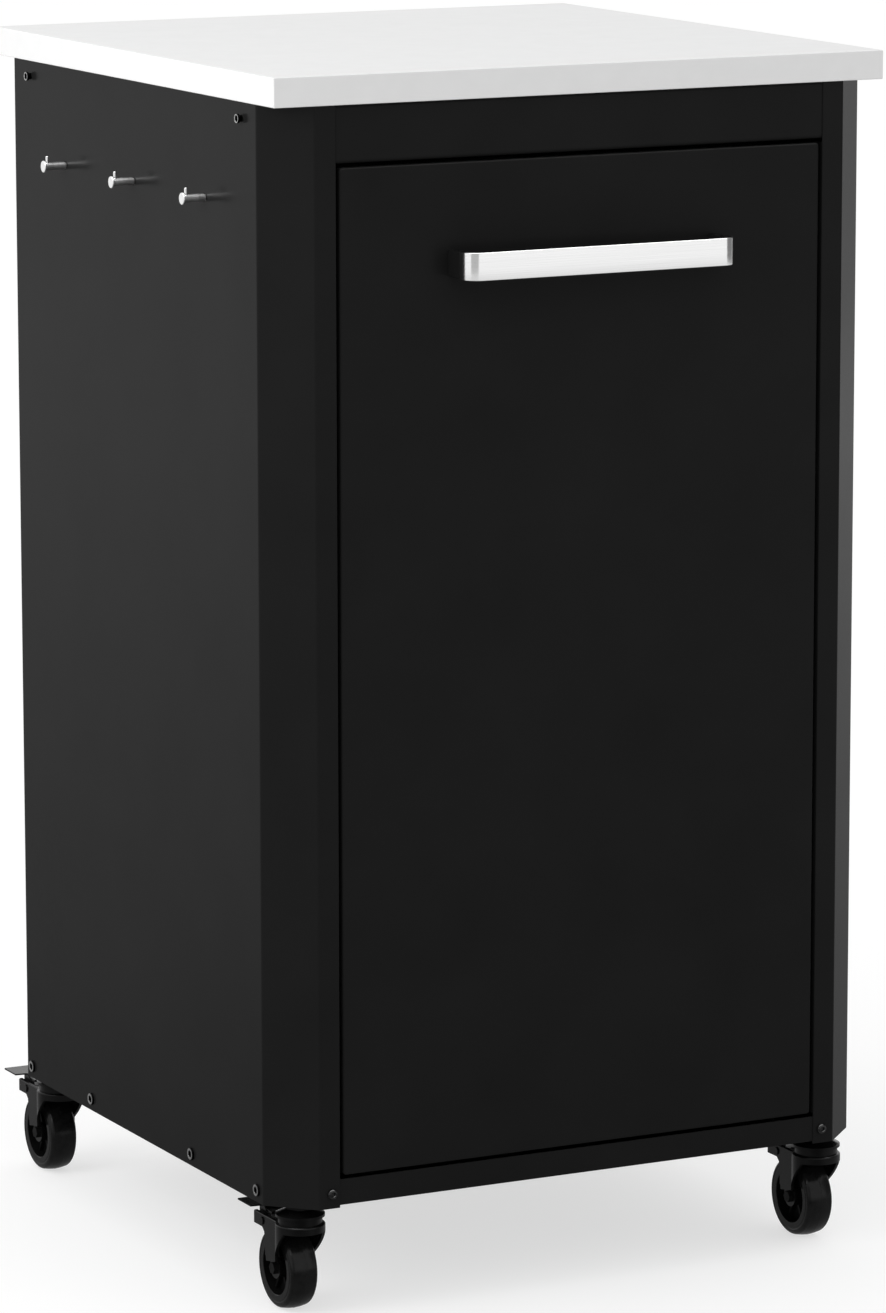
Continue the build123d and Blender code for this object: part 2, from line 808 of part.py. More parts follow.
with BuildPart() as stem_nuts:
    with BuildSketch(Plane.XY.offset(base_floor)):
        with Locations(*caster_spots.values()):
            RegularPolygon(radius=stem_nut_flats / 2, side_count=6, major_radius=False)
            Circle(stem_diameter / 2 + hole_play, mode=Mode.SUBTRACT)
    extrude(amount=stem_nut_height)
keep(stem_nuts, "stem_nuts")

# Caster levels, from the floor up, with the swivel axis on Z and the wheel trailing towards the back
wheel_radius = wheel_diameter / 2
fork_top = wheel_diameter + crown_gap
fork_under = fork_top - fork_sheet
cup_top = fork_top + cup_height
race_bottom = cup_top + running_gap
race_top = race_bottom + race_height
king_head_top = fork_under - running_gap
tab_inside = hub_width / 2 + running_gap
tab_outside = tab_inside + fork_sheet
pivot_y = caster_trail + pivot_behind
pivot_z = fork_top - pivot_drop
ear_end = caster_trail + ear_reach
axle_plane = Plane((0, caster_trail, wheel_radius))
axle_axis = Axis((0, caster_trail, wheel_radius), (1, 0, 0))

with BuildPart() as caster_stem:
    with BuildSketch(Plane.XZ):
        with BuildLine():
            Polyline(
                (0, king_head_top - king_head_height),
                (king_head_diameter / 2, king_head_top - king_head_height),
                (king_head_diameter / 2, king_head_top),
                (king_pin_diameter / 2, king_head_top),
                (king_pin_diameter / 2, race_bottom),
                (race_diameter / 2, race_bottom),
                (race_diameter / 2, race_bottom + race_rim),
                (collar_flats / 2, race_top),
                (0, race_top),
                close=True,
            )
        make_face()
    revolve(axis=Axis.Z)
    with BuildSketch(Plane.XY.offset(race_top)):
        RegularPolygon(radius=collar_flats / 2, side_count=6, major_radius=False)
    extrude(amount=base_bottom - race_top)
    with BuildSketch(Plane.XY.offset(base_bottom)):
        Circle(stem_diameter / 2)
    extrude(amount=stem_length)

# Fork: a deep-drawn cap with two legs and two ears, trimmed to its side outline
leg_low = wheel_radius + leg_end
leg_front = caster_trail - leg_ahead
leg_back = caster_trail + leg_behind
skirt_low = fork_top - fork_skirt
ear_low = fork_top - ear_height
tab_line = [
    (fork_width / 2, leg_low + jog_top),
    (fork_width / 2, wheel_radius + jog_top),
    (tab_outside, wheel_radius + jog_bottom),
    (tab_outside, wheel_radius - tab_radius),
]
tab_halves = [
    folded([(s * x, z) for x, z in tab_line], jog_bend, fork_sheet, left_of(-s)) for s in (-1, 1)
]
tab_run, tab_span = across(caster_trail - tab_radius, caster_trail + tab_radius)
with BuildPart() as fork_tabs:
    with BuildSketch(tab_run):
        add(tab_halves)
    extrude(amount=tab_span)
    with BuildSketch(Plane.YZ):
        with Locations((caster_trail, wheel_radius)):
            Circle(tab_radius)
        with Locations((caster_trail, wheel_radius + tab_radius)):
            Rectangle(2 * tab_radius, 2 * tab_radius)
        with Locations((caster_trail, wheel_radius)):
            Circle(axle_diameter / 2 + hole_play, mode=Mode.SUBTRACT)
    extrude(amount=fork_width, both=True, mode=Mode.INTERSECT)

with BuildPart() as caster_fork:
    with BuildSketch(Plane.XY.offset(leg_low - leg_slant)):
        Circle(fork_cap_diameter / 2)
        with Locations((0, ear_end / 2)):
            Rectangle(fork_width, ear_end)
    extrude(amount=fork_top - leg_low + leg_slant)
    fillet(caster_fork.faces().sort_by(Axis.Z)[-1].edges(), fork_round)
    offset(amount=-fork_sheet, openings=caster_fork.faces().sort_by(Axis.Z)[0])
    with BuildSketch(Plane.YZ):
        with BuildLine():
            Polyline(
                (-fork_cap_diameter, fork_top),
                (-fork_cap_diameter, skirt_low),
                (-shoulder_ahead, skirt_low),
                (leg_front, leg_low + shoulder_rise),
                (leg_front, leg_low),
                (leg_back, leg_low - leg_slant),
                (leg_back + ear_round, ear_low - ear_round),
                (pivot_y, ear_low),
                (ear_end, ear_low),
                (ear_end, fork_top),
                close=True,
            )
        make_face()
    extrude(amount=fork_cap_diameter, both=True, mode=Mode.INTERSECT)
    # The tail is open at the back and on top, where the pedal sits between the ears
    with BuildSketch(Plane.XY.offset(leg_low - leg_slant)):
        with Locations((0, (caster_trail + ear_end) / 2)):
            Rectangle(fork_width - 2 * fork_sheet, ear_reach + 2 * fork_sheet)
    extrude(amount=fork_top, mode=Mode.SUBTRACT)
    with BuildSketch(Plane.XY.offset(fork_under)):
        Circle(cup_diameter / 2)
    extrude(amount=cup_top - fork_under)
    with BuildSketch(Plane.XY.offset(fork_under)):
        Circle(king_pin_diameter / 2 + running_gap)
    extrude(amount=cup_top - fork_under, mode=Mode.SUBTRACT)
    with BuildSketch(Plane.YZ):
        with Locations((pivot_y, pivot_z)):
            Circle(pivot_diameter / 2 + running_gap)
    extrude(amount=fork_width, both=True, mode=Mode.SUBTRACT)
    add(fork_tabs.part)

axle_half = tab_outside + axle_head
with BuildPart() as caster_axle:
    with BuildSketch(Plane.YZ):
        with Locations((caster_trail, wheel_radius)):
            Circle(axle_diameter / 2)
    extrude(amount=axle_half, both=True)
    for sign in (-1, 1):
        with BuildSketch(Plane.YZ.offset(sign * tab_outside)):
            with Locations((caster_trail, wheel_radius)):
                RegularPolygon(radius=axle_hex / 2, side_count=6, major_radius=False)
        extrude(amount=sign * axle_head)

# Wheel: spoked core and tyre, turned about the axle
rim_outside = wheel_radius - tyre_depth
rim_inside = rim_outside - rim_depth
core_half = [
    (hub_width / 2, axle_diameter / 2 + running_gap),
    (hub_width / 2, hub_diameter / 2),
    (web_thickness / 2, hub_diameter / 2),
    (web_thickness / 2, rim_inside),
    (rim_width / 2, rim_inside),
    (rim_width / 2, rim_outside),
]
spoke_length = rim_inside - hub_diameter / 2
with BuildPart() as wheel_core:
    with BuildSketch(axle_plane):
        with BuildLine():
            Polyline(*core_half, *[(-x, r) for x, r in reversed(core_half)], close=True)
        make_face()
    revolve(axis=axle_axis)
    with BuildSketch(Plane((0, caster_trail, wheel_radius), x_dir=(0, 1, 0), z_dir=(1, 0, 0))):
        with PolarLocations(hub_diameter / 2 + spoke_length / 2, spoke_count):
            Rectangle(spoke_length + spoke_width / 2, spoke_width)
    extrude(amount=spoke_height / 2, both=True)

with BuildPart() as tyre:
    with BuildSketch(axle_plane) as tyre_section:
        with Locations((0, rim_outside + tyre_depth / 2)):
            Rectangle(wheel_width, tyre_depth)
        fillet(tyre_section.vertices().group_by(Axis.Y)[-1], tread_round)
    revolve(axis=axle_axis)

# Brake pedal: a plate that flares behind the ears, two cheeks, a shoe and the pivot pin
pedal_low = fork_top + pedal_clearance
pedal_front = caster_trail + pedal_ahead
pedal_end = caster_trail + pedal_reach
flare_start = ear_end + pedal_clearance
pedal_plan = [
    (pedal_width / 2, pedal_front),
    (pedal_width / 2, flare_start),
    (pedal_flare / 2, flare_start + pedal_taper),
    (pedal_flare / 2, pedal_end),
]
pedal_line = [(pedal_front, pedal_low), (flare_start, pedal_low), (pedal_end, pedal_low + pedal_rise)]
pedal_band = folded(pedal_line, ear_round, pedal_sheet, Side.LEFT)
with BuildPart() as pedal_plate:
    with BuildSketch(Plane.XY) as pedal_outline:
        with BuildLine():
            Polyline(*pedal_plan, *[(-x, y) for x, y in reversed(pedal_plan)], close=True)
        make_face()
        fillet(pedal_outline.vertices().group_by(Axis.Y)[-1], ear_round)
    extrude(amount=2 * fork_top)
    with BuildSketch(Plane.YZ):
        add(pedal_band)
    extrude(amount=pedal_flare, both=True, mode=Mode.INTERSECT)

cheek_outside = pedal_width / 2
with BuildPart() as brake_pedal:
    with BuildSketch(Plane.YZ.offset(-cheek_outside)):
        with BuildLine():
            Polyline(
                (pivot_y - cheek_round, pedal_low + pedal_sheet / 2),
                (pivot_y + shoe_reach, pedal_low + pedal_sheet / 2),
                (pivot_y + shoe_reach, pivot_z - cheek_round),
                (pivot_y + cheek_round, pivot_z - shoe_drop),
                (pivot_y, pivot_z - cheek_round),
                (pivot_y - cheek_round, pivot_z),
                close=True,
            )
        make_face()
    extrude(amount=2 * cheek_outside)
    with BuildSketch(Plane.YZ):
        with Locations((pivot_y, pedal_low)):
            Rectangle(2 * shoe_reach, 2 * (pedal_low - pivot_z) - 2 * cheek_sheet)
    extrude(amount=cheek_outside - cheek_sheet, both=True, mode=Mode.SUBTRACT)
    add(pedal_plate.part)
    with BuildSketch(Plane.YZ):
        with Locations((pivot_y, pivot_z)):
            Circle(pivot_diameter / 2)
    extrude(amount=fork_width / 2 + running_gap + pivot_head_height, both=True)
    for sign in (-1, 1):
        with BuildSketch(Plane.YZ.offset(sign * (fork_width / 2 + running_gap))):
            with Locations((pivot_y, pivot_z)):
                Circle(pivot_head_diameter / 2)
        extrude(amount=sign * pivot_head_height)

caster_pieces = {
    "caster_stem": caster_stem,
    "caster_fork": caster_fork,
    "caster_axle": caster_axle,
    "wheel_core": wheel_core,
    "tyre": tyre,
    "brake_pedal": brake_pedal,
}
for corner, (x, y) in caster_spots.items():
    for piece_name, master in caster_pieces.items():
        with BuildPart() as placed:
            with Locations((x, y, 0)):
                add(master.part)
        keep(placed, f"{piece_name}_{corner}")
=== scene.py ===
"""Finish the outdoor kitchen unit: fine surfaces, finishes, studio light and the camera.

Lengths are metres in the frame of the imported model: the origin is on the floor under the middle of
the worktop, the front faces -Y and +Z is up. New pieces are surfaces computed on grids, and each
takes its place from the boxes of the nodes that it stands for.
"""

import json
import logging
from dataclasses import dataclass, replace
from enum import Enum

import bmesh
import bpy
import numpy as np
from mathutils import Matrix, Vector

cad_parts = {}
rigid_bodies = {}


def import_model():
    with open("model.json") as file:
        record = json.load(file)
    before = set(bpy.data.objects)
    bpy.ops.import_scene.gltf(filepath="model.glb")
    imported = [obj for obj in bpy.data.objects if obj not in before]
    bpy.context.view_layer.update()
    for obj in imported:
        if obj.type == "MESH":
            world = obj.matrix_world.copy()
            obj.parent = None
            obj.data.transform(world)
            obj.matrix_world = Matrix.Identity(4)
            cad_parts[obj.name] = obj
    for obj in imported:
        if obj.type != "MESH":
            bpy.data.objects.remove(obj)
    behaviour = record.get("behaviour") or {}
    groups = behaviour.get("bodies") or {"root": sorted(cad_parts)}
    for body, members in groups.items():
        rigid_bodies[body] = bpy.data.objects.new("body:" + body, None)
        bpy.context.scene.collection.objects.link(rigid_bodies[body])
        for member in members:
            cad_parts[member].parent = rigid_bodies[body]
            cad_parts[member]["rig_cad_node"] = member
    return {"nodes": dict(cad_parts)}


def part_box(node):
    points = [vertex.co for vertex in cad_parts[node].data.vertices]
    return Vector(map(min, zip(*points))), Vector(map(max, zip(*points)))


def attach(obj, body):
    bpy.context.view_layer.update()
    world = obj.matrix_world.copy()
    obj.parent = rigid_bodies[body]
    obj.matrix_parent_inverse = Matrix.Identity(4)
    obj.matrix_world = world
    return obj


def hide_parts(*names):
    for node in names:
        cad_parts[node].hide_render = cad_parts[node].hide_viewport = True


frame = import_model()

Array = np.ndarray
Band = tuple[Array | float, Array | float]
Triple = tuple[float, float, float]
MM = 0.001
CORNERS = ("fl", "fr", "rl", "rr")
# The corners of a square two units wide
SQUARE = np.array(((-1, -1), (1, -1), (1, 1), (-1, 1)))
# Points that lie closer are one point, and edges that turn by more degrees stay sharp
MERGE = 1e-6
CREASE = 32.0
# The middle part of a noise value, which the finishes spread over their ranges
NOISE_LOW = 0.3
NOISE_HIGH = 0.7
# Octaves of finer noise in the tones and in the roughness
TONE_DETAIL = 3.0
ROUGH_DETAIL = 4.0
# The depth of a thread as a share of its pitch, and its rows in one turn
THREAD_DEPTH = 0.45
THREAD_ROWS = 4
# The attribute that is 1 on the faces of a piece that keep the finish's own tone, and 0 on faces that take
# painted shade
UNSHADED_ATTRIBUTE = "unshaded"
log = logging.getLogger("outdoor_kitchen")


class Slot(Enum):
    """The record's material slots."""

    COAT = "black_powder_coat"
    TOP = "worktop_laminate"
    STEEL = "brushed_stainless"
    SCREW = "black_fastener"
    ZINC = "zinc_plate"
    CASTER = "black_caster_steel"
    NYLON = "wheel_plastic"
    RUBBER = "tyre_rubber"


class Bench:
    """A material under construction: its node tree and the nodes that the finishes share."""

    def __init__(self, name: str) -> None:
        """Start a material with a principled shader.

        Args:
            name: the material's name.
        """
        self.material = bpy.data.materials.new(name)
        self.material.use_nodes = True
        self.tree = self.material.node_tree
        self.tree.nodes.clear()
        self.shader = self.tree.nodes.new("ShaderNodeBsdfPrincipled")
        output = self.tree.nodes.new("ShaderNodeOutputMaterial")
        self.join(self.shader.outputs["BSDF"], output.inputs["Surface"])
        self.place = self.tree.nodes.new("ShaderNodeTexCoord").outputs["Object"]

    def join(self, source: bpy.types.NodeSocket, target: bpy.types.NodeSocket) -> None:
        """Link two sockets."""
        self.tree.links.new(source, target)

    def fix(self, **values: float) -> None:
        """Set sockets of the shader that are the same all over, with _ for a space in their names."""
        for name, value in values.items():
            self.shader.inputs[name.replace("_", " ")].default_value = value

    def noise(self, grain: Triple, detail: float = 2.0) -> bpy.types.NodeSocket:
        """Fractal noise stretched differently along X, Y and Z.

        Args:
            grain: how many features there are in a metre along each axis.
            detail: octaves of finer noise on top.

        Returns:
            The noise value, from 0 to 1 and mostly near a half.
        """
        mapping = self.tree.nodes.new("ShaderNodeMapping")
        mapping.inputs["Scale"].default_value = grain
        texture = self.tree.nodes.new("ShaderNodeTexNoise")
        texture.inputs["Scale"].default_value = 1.0
        texture.inputs["Detail"].default_value = detail
        self.join(self.place, mapping.inputs["Vector"])
        self.join(mapping.outputs["Vector"], texture.inputs["Vector"])
        return texture.outputs["Fac"]

    def between(self, value: bpy.types.NodeSocket, low: float, high: float) -> bpy.types.NodeSocket:
        """Spread a noise value over a range.

        Args:
            value: a noise value, whose middle part counts.
            low: the result where the noise is low.
            high: the result where the noise is high.

        Returns:
            The spread value.
        """
        spread = self.tree.nodes.new("ShaderNodeMapRange")
        spread.inputs["From Min"].default_value = NOISE_LOW
        spread.inputs["From Max"].default_value = NOISE_HIGH
        spread.inputs["To Min"].default_value = low
        spread.inputs["To Max"].default_value = high
        self.join(value, spread.inputs["Value"])
        return spread.outputs["Result"]

    def tones(
        self, value: bpy.types.NodeSocket, low: Triple, high: Triple, painted_shade: Triple | None
    ) -> None:
        """Colour the surface between two tones by a noise value.

        Args:
            value: the noise value.
            low: the tone where the noise is low.
            high: the tone where the noise is high.
            painted_shade: the tone of painted shade, shown where the piece marks its faces as shaded, if
                the finish has one.
        """
        ramp = self.tree.nodes.new("ShaderNodeValToRGB")
        ramp.color_ramp.elements[0].position = NOISE_LOW
        ramp.color_ramp.elements[0].color = (*low, 1.0)
        ramp.color_ramp.elements[1].position = NOISE_HIGH
        ramp.color_ramp.elements[1].color = (*high, 1.0)
        # Painted shade: where the piece's attribute is 0, the ramp gives the shade tone
        if painted_shade is not None:
            ramp.color_ramp.elements.new(0.0).color = (*painted_shade, 1.0)
            unshaded = self.tree.nodes.new("ShaderNodeAttribute")
            unshaded.attribute_name = UNSHADED_ATTRIBUTE
            product = self.tree.nodes.new("ShaderNodeMath")
            product.operation = "MULTIPLY"
            self.join(value, product.inputs[0])
            self.join(unshaded.outputs["Fac"], product.inputs[1])
            value = product.outputs["Value"]
        self.join(value, ramp.inputs["Fac"])
        self.join(ramp.outputs["Color"], self.shader.inputs["Base Color"])

    def relief(self, heights: list[tuple[bpy.types.NodeSocket, float]]) -> None:
        """Stack bumps on each other.

        Args:
            heights: the height of each bump, from 0 to 1, and its depth in metres.
        """
        under = None
        for height, depth in heights:
            bump = self.tree.nodes.new("ShaderNodeBump")
            bump.inputs["Strength"].default_value = 1.0
            bump.inputs["Distance"].default_value = depth
            self.join(height, bump.inputs["Height"])
            if under is not None:
                self.join(under, bump.inputs["Normal"])
            under = bump.outputs["Normal"]
        self.join(under, self.shader.inputs["Normal"])


@dataclass(frozen=True)
class Finish:
    """A finish with two close tones, a range of roughness and a fine relief.

    Grains are features in a metre along X, Y and Z, and depths are metres. A finish with a painted
    shade tone shows that shade on the faces that the piece marks as shaded, such as screw sockets.
    """

    name: str
    slot: Slot
    low_tone: Triple
    high_tone: Triple
    tone_grain: Triple
    roughness: tuple[float, float]
    rough_grain: Triple
    coarse_grain: Triple
    fine_grain: Triple
    coarse_depth: float = 6e-6
    fine_depth: float = 2e-6
    metallic: float = 0.0
    specular: float = 0.5
    painted_shade_tone: Triple | None = None

    def material(self) -> bpy.types.Material:
        """The finish as a material, made once and then shared.

        Returns:
            The material.
        """
        made = bpy.data.materials.get(self.name)
        if made is not None:
            return made
        bench = Bench(self.name)
        bench.fix(Metallic=self.metallic, Specular_IOR_Level=self.specular)
        tone = bench.noise(self.tone_grain, TONE_DETAIL)
        bench.tones(tone, self.low_tone, self.high_tone, self.painted_shade_tone)
        rough = bench.between(bench.noise(self.rough_grain, ROUGH_DETAIL), *self.roughness)
        bench.join(rough, bench.shader.inputs["Roughness"])
        coarse = bench.noise(self.coarse_grain)
        fine = bench.noise(self.fine_grain)
        bench.relief([(coarse, self.coarse_depth), (fine, self.fine_depth)])
        return bench.material

    def dress(self, piece: bpy.types.Object) -> None:
        """Give a piece this finish.

        Args:
            piece: the new piece, or the object of a node.
        """
        piece.data.materials.clear()
        piece.data.materials.append(self.material())


def even(grain: float) -> Triple:
    """The same grain along all three axes."""
    return (grain, grain, grain)


def grey(level: float) -> Triple:
    """A neutral tone."""
    return (level, level, level)


POWDER_COAT = Finish(
    name="satin_powder_coat",
    slot=Slot.COAT,
    low_tone=grey(0.0110),
    high_tone=grey(0.0126),
    tone_grain=even(14.0),
    roughness=(0.18, 0.24),
    rough_grain=even(9.0),
    coarse_grain=even(700.0),
    fine_grain=even(2600.0),
    specular=0.029,
)
LAMINATE = Finish(
    name="white_laminate",
    slot=Slot.TOP,
    low_tone=grey(0.805),
    high_tone=grey(0.825),
    tone_grain=even(60.0),
    roughness=(0.38, 0.46),
    rough_grain=even(25.0),
    coarse_grain=even(900.0),
    coarse_depth=10e-6,
    fine_grain=even(3000.0),
    fine_depth=4e-6,
    specular=0.28,
)
BRUSHED_STEEL = Finish(
    name="brushed_stainless_bar",
    slot=Slot.STEEL,
    low_tone=grey(0.84),
    high_tone=grey(0.92),
    tone_grain=(10.0, 10.0, 2600.0),
    roughness=(0.12, 0.22),
    rough_grain=(14.0, 14.0, 1800.0),
    coarse_grain=(9.0, 9.0, 1500.0),
    coarse_depth=5e-6,
    fine_grain=(25.0, 25.0, 5000.0),
    fine_depth=3e-6,
    metallic=1.0,
)
SATIN_STEEL = Finish(
    name="satin_stainless_peg",
    slot=Slot.STEEL,
    low_tone=grey(0.84),
    high_tone=grey(0.90),
    tone_grain=(900.0, 60.0, 60.0),
    roughness=(0.28, 0.40),
    rough_grain=(700.0, 40.0, 40.0),
    coarse_grain=(1500.0, 20.0, 20.0),
    coarse_depth=14e-6,
    fine_grain=(4000.0, 60.0, 60.0),
    fine_depth=3e-6,
    metallic=1.0,
)
BLACK_OXIDE = Finish(
    name="black_oxide_screw",
    slot=Slot.SCREW,
    low_tone=grey(0.36),
    high_tone=grey(0.46),
    tone_grain=even(700.0),
    roughness=(0.28, 0.38),
    rough_grain=even(500.0),
    coarse_grain=even(1200.0),
    fine_grain=even(4000.0),
    metallic=1.0,
    # Painted shade: near black in the sockets, on the sides of the heads and on the shanks, on the rows
    # that the fasteners mark as shaded
    painted_shade_tone=grey(0.008),
)
BLACK_LACQUER = Finish(
    name="black_lacquered_head",
    slot=Slot.SCREW,
    low_tone=grey(0.006),
    high_tone=grey(0.010),
    tone_grain=even(700.0),
    roughness=(0.05, 0.08),
    rough_grain=even(500.0),
    coarse_grain=even(1200.0),
    coarse_depth=5e-6,
    fine_grain=even(4000.0),
)
ZINC = Finish(
    name="bright_zinc_plate",
    slot=Slot.ZINC,
    low_tone=(0.50, 0.51, 0.53),
    high_tone=(0.60, 0.60, 0.60),
    tone_grain=even(120.0),
    roughness=(0.26, 0.40),
    rough_grain=even(200.0),
    coarse_grain=(900.0, 40.0, 900.0),
    coarse_depth=5e-6,
    fine_grain=even(3500.0),
    metallic=1.0,
)
CASTER_STEEL = Finish(
    name="black_stamped_steel",
    slot=Slot.CASTER,
    low_tone=grey(0.0030),
    high_tone=grey(0.0048),
    tone_grain=even(120.0),
    roughness=(0.16, 0.24),
    rough_grain=even(90.0),
    coarse_grain=even(900.0),
    fine_grain=even(3000.0),
    specular=0.20,
)
AXLE_STEEL = Finish(
    name="dull_axle_steel",
    slot=Slot.CASTER,
    low_tone=grey(0.0035),
    high_tone=grey(0.0060),
    tone_grain=even(300.0),
    roughness=(0.42, 0.55),
    rough_grain=even(250.0),
    coarse_grain=even(1400.0),
    fine_grain=even(4000.0),
    specular=0.08,
)
NYLON = Finish(
    name="black_moulded_nylon",
    slot=Slot.NYLON,
    low_tone=grey(0.0032),
    high_tone=grey(0.0050),
    tone_grain=even(150.0),
    roughness=(0.40, 0.50),
    rough_grain=even(220.0),
    coarse_grain=even(1800.0),
    coarse_depth=12e-6,
    fine_grain=even(5000.0),
    fine_depth=4e-6,
    specular=0.06,
)
RUBBER = Finish(
    name="black_tread_rubber",
    slot=Slot.RUBBER,
    low_tone=grey(0.0040),
    high_tone=grey(0.0070),
    tone_grain=even(200.0),
    roughness=(0.18, 0.26),
    rough_grain=even(160.0),
    coarse_grain=even(1100.0),
    coarse_depth=14e-6,
    fine_grain=even(4000.0),
    fine_depth=4e-6,
    specular=0.18,
)
CARRIED_OVER = {
    finish.slot.value: finish for finish in (POWDER_COAT, LAMINATE, ZINC, CASTER_STEEL, NYLON)
}


@dataclass(frozen=True)
class Skin:
    """A surface on a grid of points, rows by columns, whose columns close into rings.

    The rows may close on themselves too, as on a tyre. Where a row draws together into one point,
    its quads become triangles when the doubles are merged. Each row may have a value from 0 to 1:
    1 keeps the finish's own tone, and 0 takes its painted shade.
    """

    points: Array
    rows_close: bool = False
    unshaded_by_row: Array | None = None

    def quads(self, first: int) -> Array:
        """The faces between neighbouring points.

        Args:
            first: the index of the grid's first point in its mesh.

        Returns:
            Four point indices for each face.
        """
        rows, columns = self.points.shape[:2]
        index = first + np.arange(rows * columns).reshape(rows, columns)
        index = np.hstack((index, index[:, :1]))
        if self.rows_close:
            index = np.vstack((index, index[:1]))
        corners = (index[:-1, :-1], index[:-1, 1:], index[1:, 1:], index[1:, :-1])
        return np.stack(corners, axis=-1).reshape(-1, 4)


@dataclass(frozen=True)
class Seat:
    """A place for a turned piece: a point, and the axis, X, Y or Z, that the piece stands up along."""

    origin: Array
    axis: Array

    def turned(self, heights: Array, radii: Array, rows_close: bool = False) -> Skin:
        """A surface round the axis.

        At height h and angle t it lies at origin + h axis + r(h, t) (cos t u + sin t v), where u and
        v are square to the axis.

        Args:
            heights: the height of each row.
            radii: the radius of each row at each angle.
            rows_close: whether the last row joins the first.

        Returns:
            The surface.
        """
        level = np.array((1.0, 0.0, 0.0) if self.axis[2] else (0.0, 0.0, 1.0))
        u = np.cross(level, self.axis)
        v = np.cross(self.axis, u)
        angles = turn_angles(radii.shape[1])
        around = np.cos(angles)[:, None] * u + np.sin(angles)[:, None] * v
        points = self.origin + heights[:, None, None] * self.axis + radii[..., None] * around
        return Skin(points, rows_close)


def turn_angles(columns: int) -> Array:
    """Evenly spaced angles of one whole turn."""
    return np.arange(columns) * 2 * np.pi / columns


def hexagon(flats: float, columns: int) -> Array:
    """Radius of a hexagon at each angle: half its flats over the cosine of the angle off a flat."""
    sixth = np.pi / 3
    return flats / 2 / np.cos((turn_angles(columns) + sixth / 2) % sixth - sixth / 2)


def stack(columns: int, *bands: Band) -> tuple[Array, Array]:
    """Put bands of rows on top of each other.

    Args:
        columns: how many angles each row has.
        bands: heights and radii, where a radius is a number, one for each row or one for each angle too.

    Returns:
        The heights of all rows, and their radii at each angle.
    """
    heights = [np.atleast_1d(np.asarray(height, float)) for height, _ in bands]
    radii = [np.broadcast_to(radius, (len(h), columns)) for h, (_, radius) in zip(heights, bands)]
    return np.concatenate(heights), np.vstack(radii)


def rounded(low: float, high: float, inner: float, outer: float, steps: int) -> tuple[Array, Array]:
    """A quarter of an ellipse: the height rises from low by a sine, as a cosine draws the radius in.

    Args:
        low: the height at the outer radius.
        high: the height at the inner radius.
        inner: the inner radius.
        outer: the outer radius.
        steps: how many rows it has.

    Returns:
        The heights and the radii, from low to high.
    """
    angles = np.linspace(0.0, np.pi / 2, steps)
    heights = low + (high - low) * np.sin(angles)
    return heights, (inner + (outer - inner) * np.cos(angles))[:, None]


def thread(low: float, high: float, radius: float, pitch: float, columns: int) -> tuple[Array, Array]:
    """A right-hand thread: the radius falls and rises by a triangle wave of height over pitch less turn.

    Args:
        low: the height of the tip.
        high: the height where the thread runs out.
        radius: the radius of the crests.
        pitch: the rise in one turn.
        columns: how many angles each row has.

    Returns:
        The heights and the radii, from low to high.
    """
    depth = THREAD_DEPTH * pitch
    heights = np.linspace(low, high, int(THREAD_ROWS * (high - low) / pitch))
    phase = (heights[:, None] / pitch - turn_angles(columns) / (2 * np.pi)) % 1.0
    fade = np.clip(np.minimum(heights - low, high - heights) / pitch, 0.0, 1.0)[:, None]
    wave = np.abs(2 * phase - 1)
    return heights, radius - depth * wave * fade - depth / 2 * (1 - fade)


def node_points(node: str) -> Array:
    """The points of a node's mesh.

    Args:
        node: the node's name.

    Returns:
        Three numbers for each point.
    """
    mesh = frame["nodes"][node].data
    flat = np.empty(3 * len(mesh.vertices))
    mesh.vertices.foreach_get("co", flat)
    return flat.reshape(-1, 3)


def box_of(node: str) -> tuple[Array, Array]:
    """The lowest and highest corners of a node."""
    low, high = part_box(node)
    return np.array(low), np.array(high)


def solids_of(node: str, reach: float) -> list[Array]:
    """The points of a node, told apart by their distance into its solids.

    Args:
        node: the node's name.
        reach: a distance that spans one solid, but not two.

    Returns:
        The points of each solid.
    """
    points = node_points(node)
    groups = []
    while len(points):
        near = np.linalg.norm(points - points[0], axis=1) < reach
        groups.append(points[near])
        points = points[~near]
    return groups


def make_piece(name: str, skins: list[Skin], body: str, finish: Finish, nodes: list[str]) -> None:
    """Turn surfaces into one piece that stands for nodes and moves with their body.

    Args:
        name: the piece's name.
        skins: its closed surfaces.
        body: the body that it rides on.
        finish: its finish.
        nodes: the nodes that it stands for.
    """
    sizes = [skin.points.shape[0] * skin.points.shape[1] for skin in skins]
    firsts = np.cumsum([0, *sizes[:-1]])
    points = np.vstack([skin.points.reshape(-1, 3) for skin in skins])
    quads = np.vstack([skin.quads(first) for skin, first in zip(skins, firsts)])
    mesh = bpy.data.meshes.new(name)
    mesh.from_pydata(points.tolist(), [], quads.tolist())
    # Painted shade: each point takes its row's value, 0 where the finish's shade tone is painted and 1
    # where its own tone shows
    if all(skin.unshaded_by_row is not None for skin in skins):
        unshaded = np.concatenate([np.repeat(skin.unshaded_by_row, skin.points.shape[1]) for skin in skins])
        mesh.attributes.new(UNSHADED_ATTRIBUTE, "FLOAT", "POINT").data.foreach_set("value", unshaded)
    shell = bmesh.new()
    shell.from_mesh(mesh)
    bmesh.ops.remove_doubles(shell, verts=shell.verts, dist=MERGE)
    bmesh.ops.recalc_face_normals(shell, faces=shell.faces)
    shell.to_mesh(mesh)
    shell.free()
    mesh.shade_smooth()
    mesh.set_sharp_from_angle(angle=np.radians(CREASE))
    piece = bpy.data.objects.new(name, mesh)
    bpy.context.scene.collection.objects.link(piece)
    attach(piece, body)
    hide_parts(*nodes)
    finish.dress(piece)
    log.info("made %s: %d faces", name, len(mesh.polygons))


class Recess(Enum):
    """How the head of a fastener is driven."""

    HEX = "hexagon socket"
    ROUND = "round hole of a blind rivet"


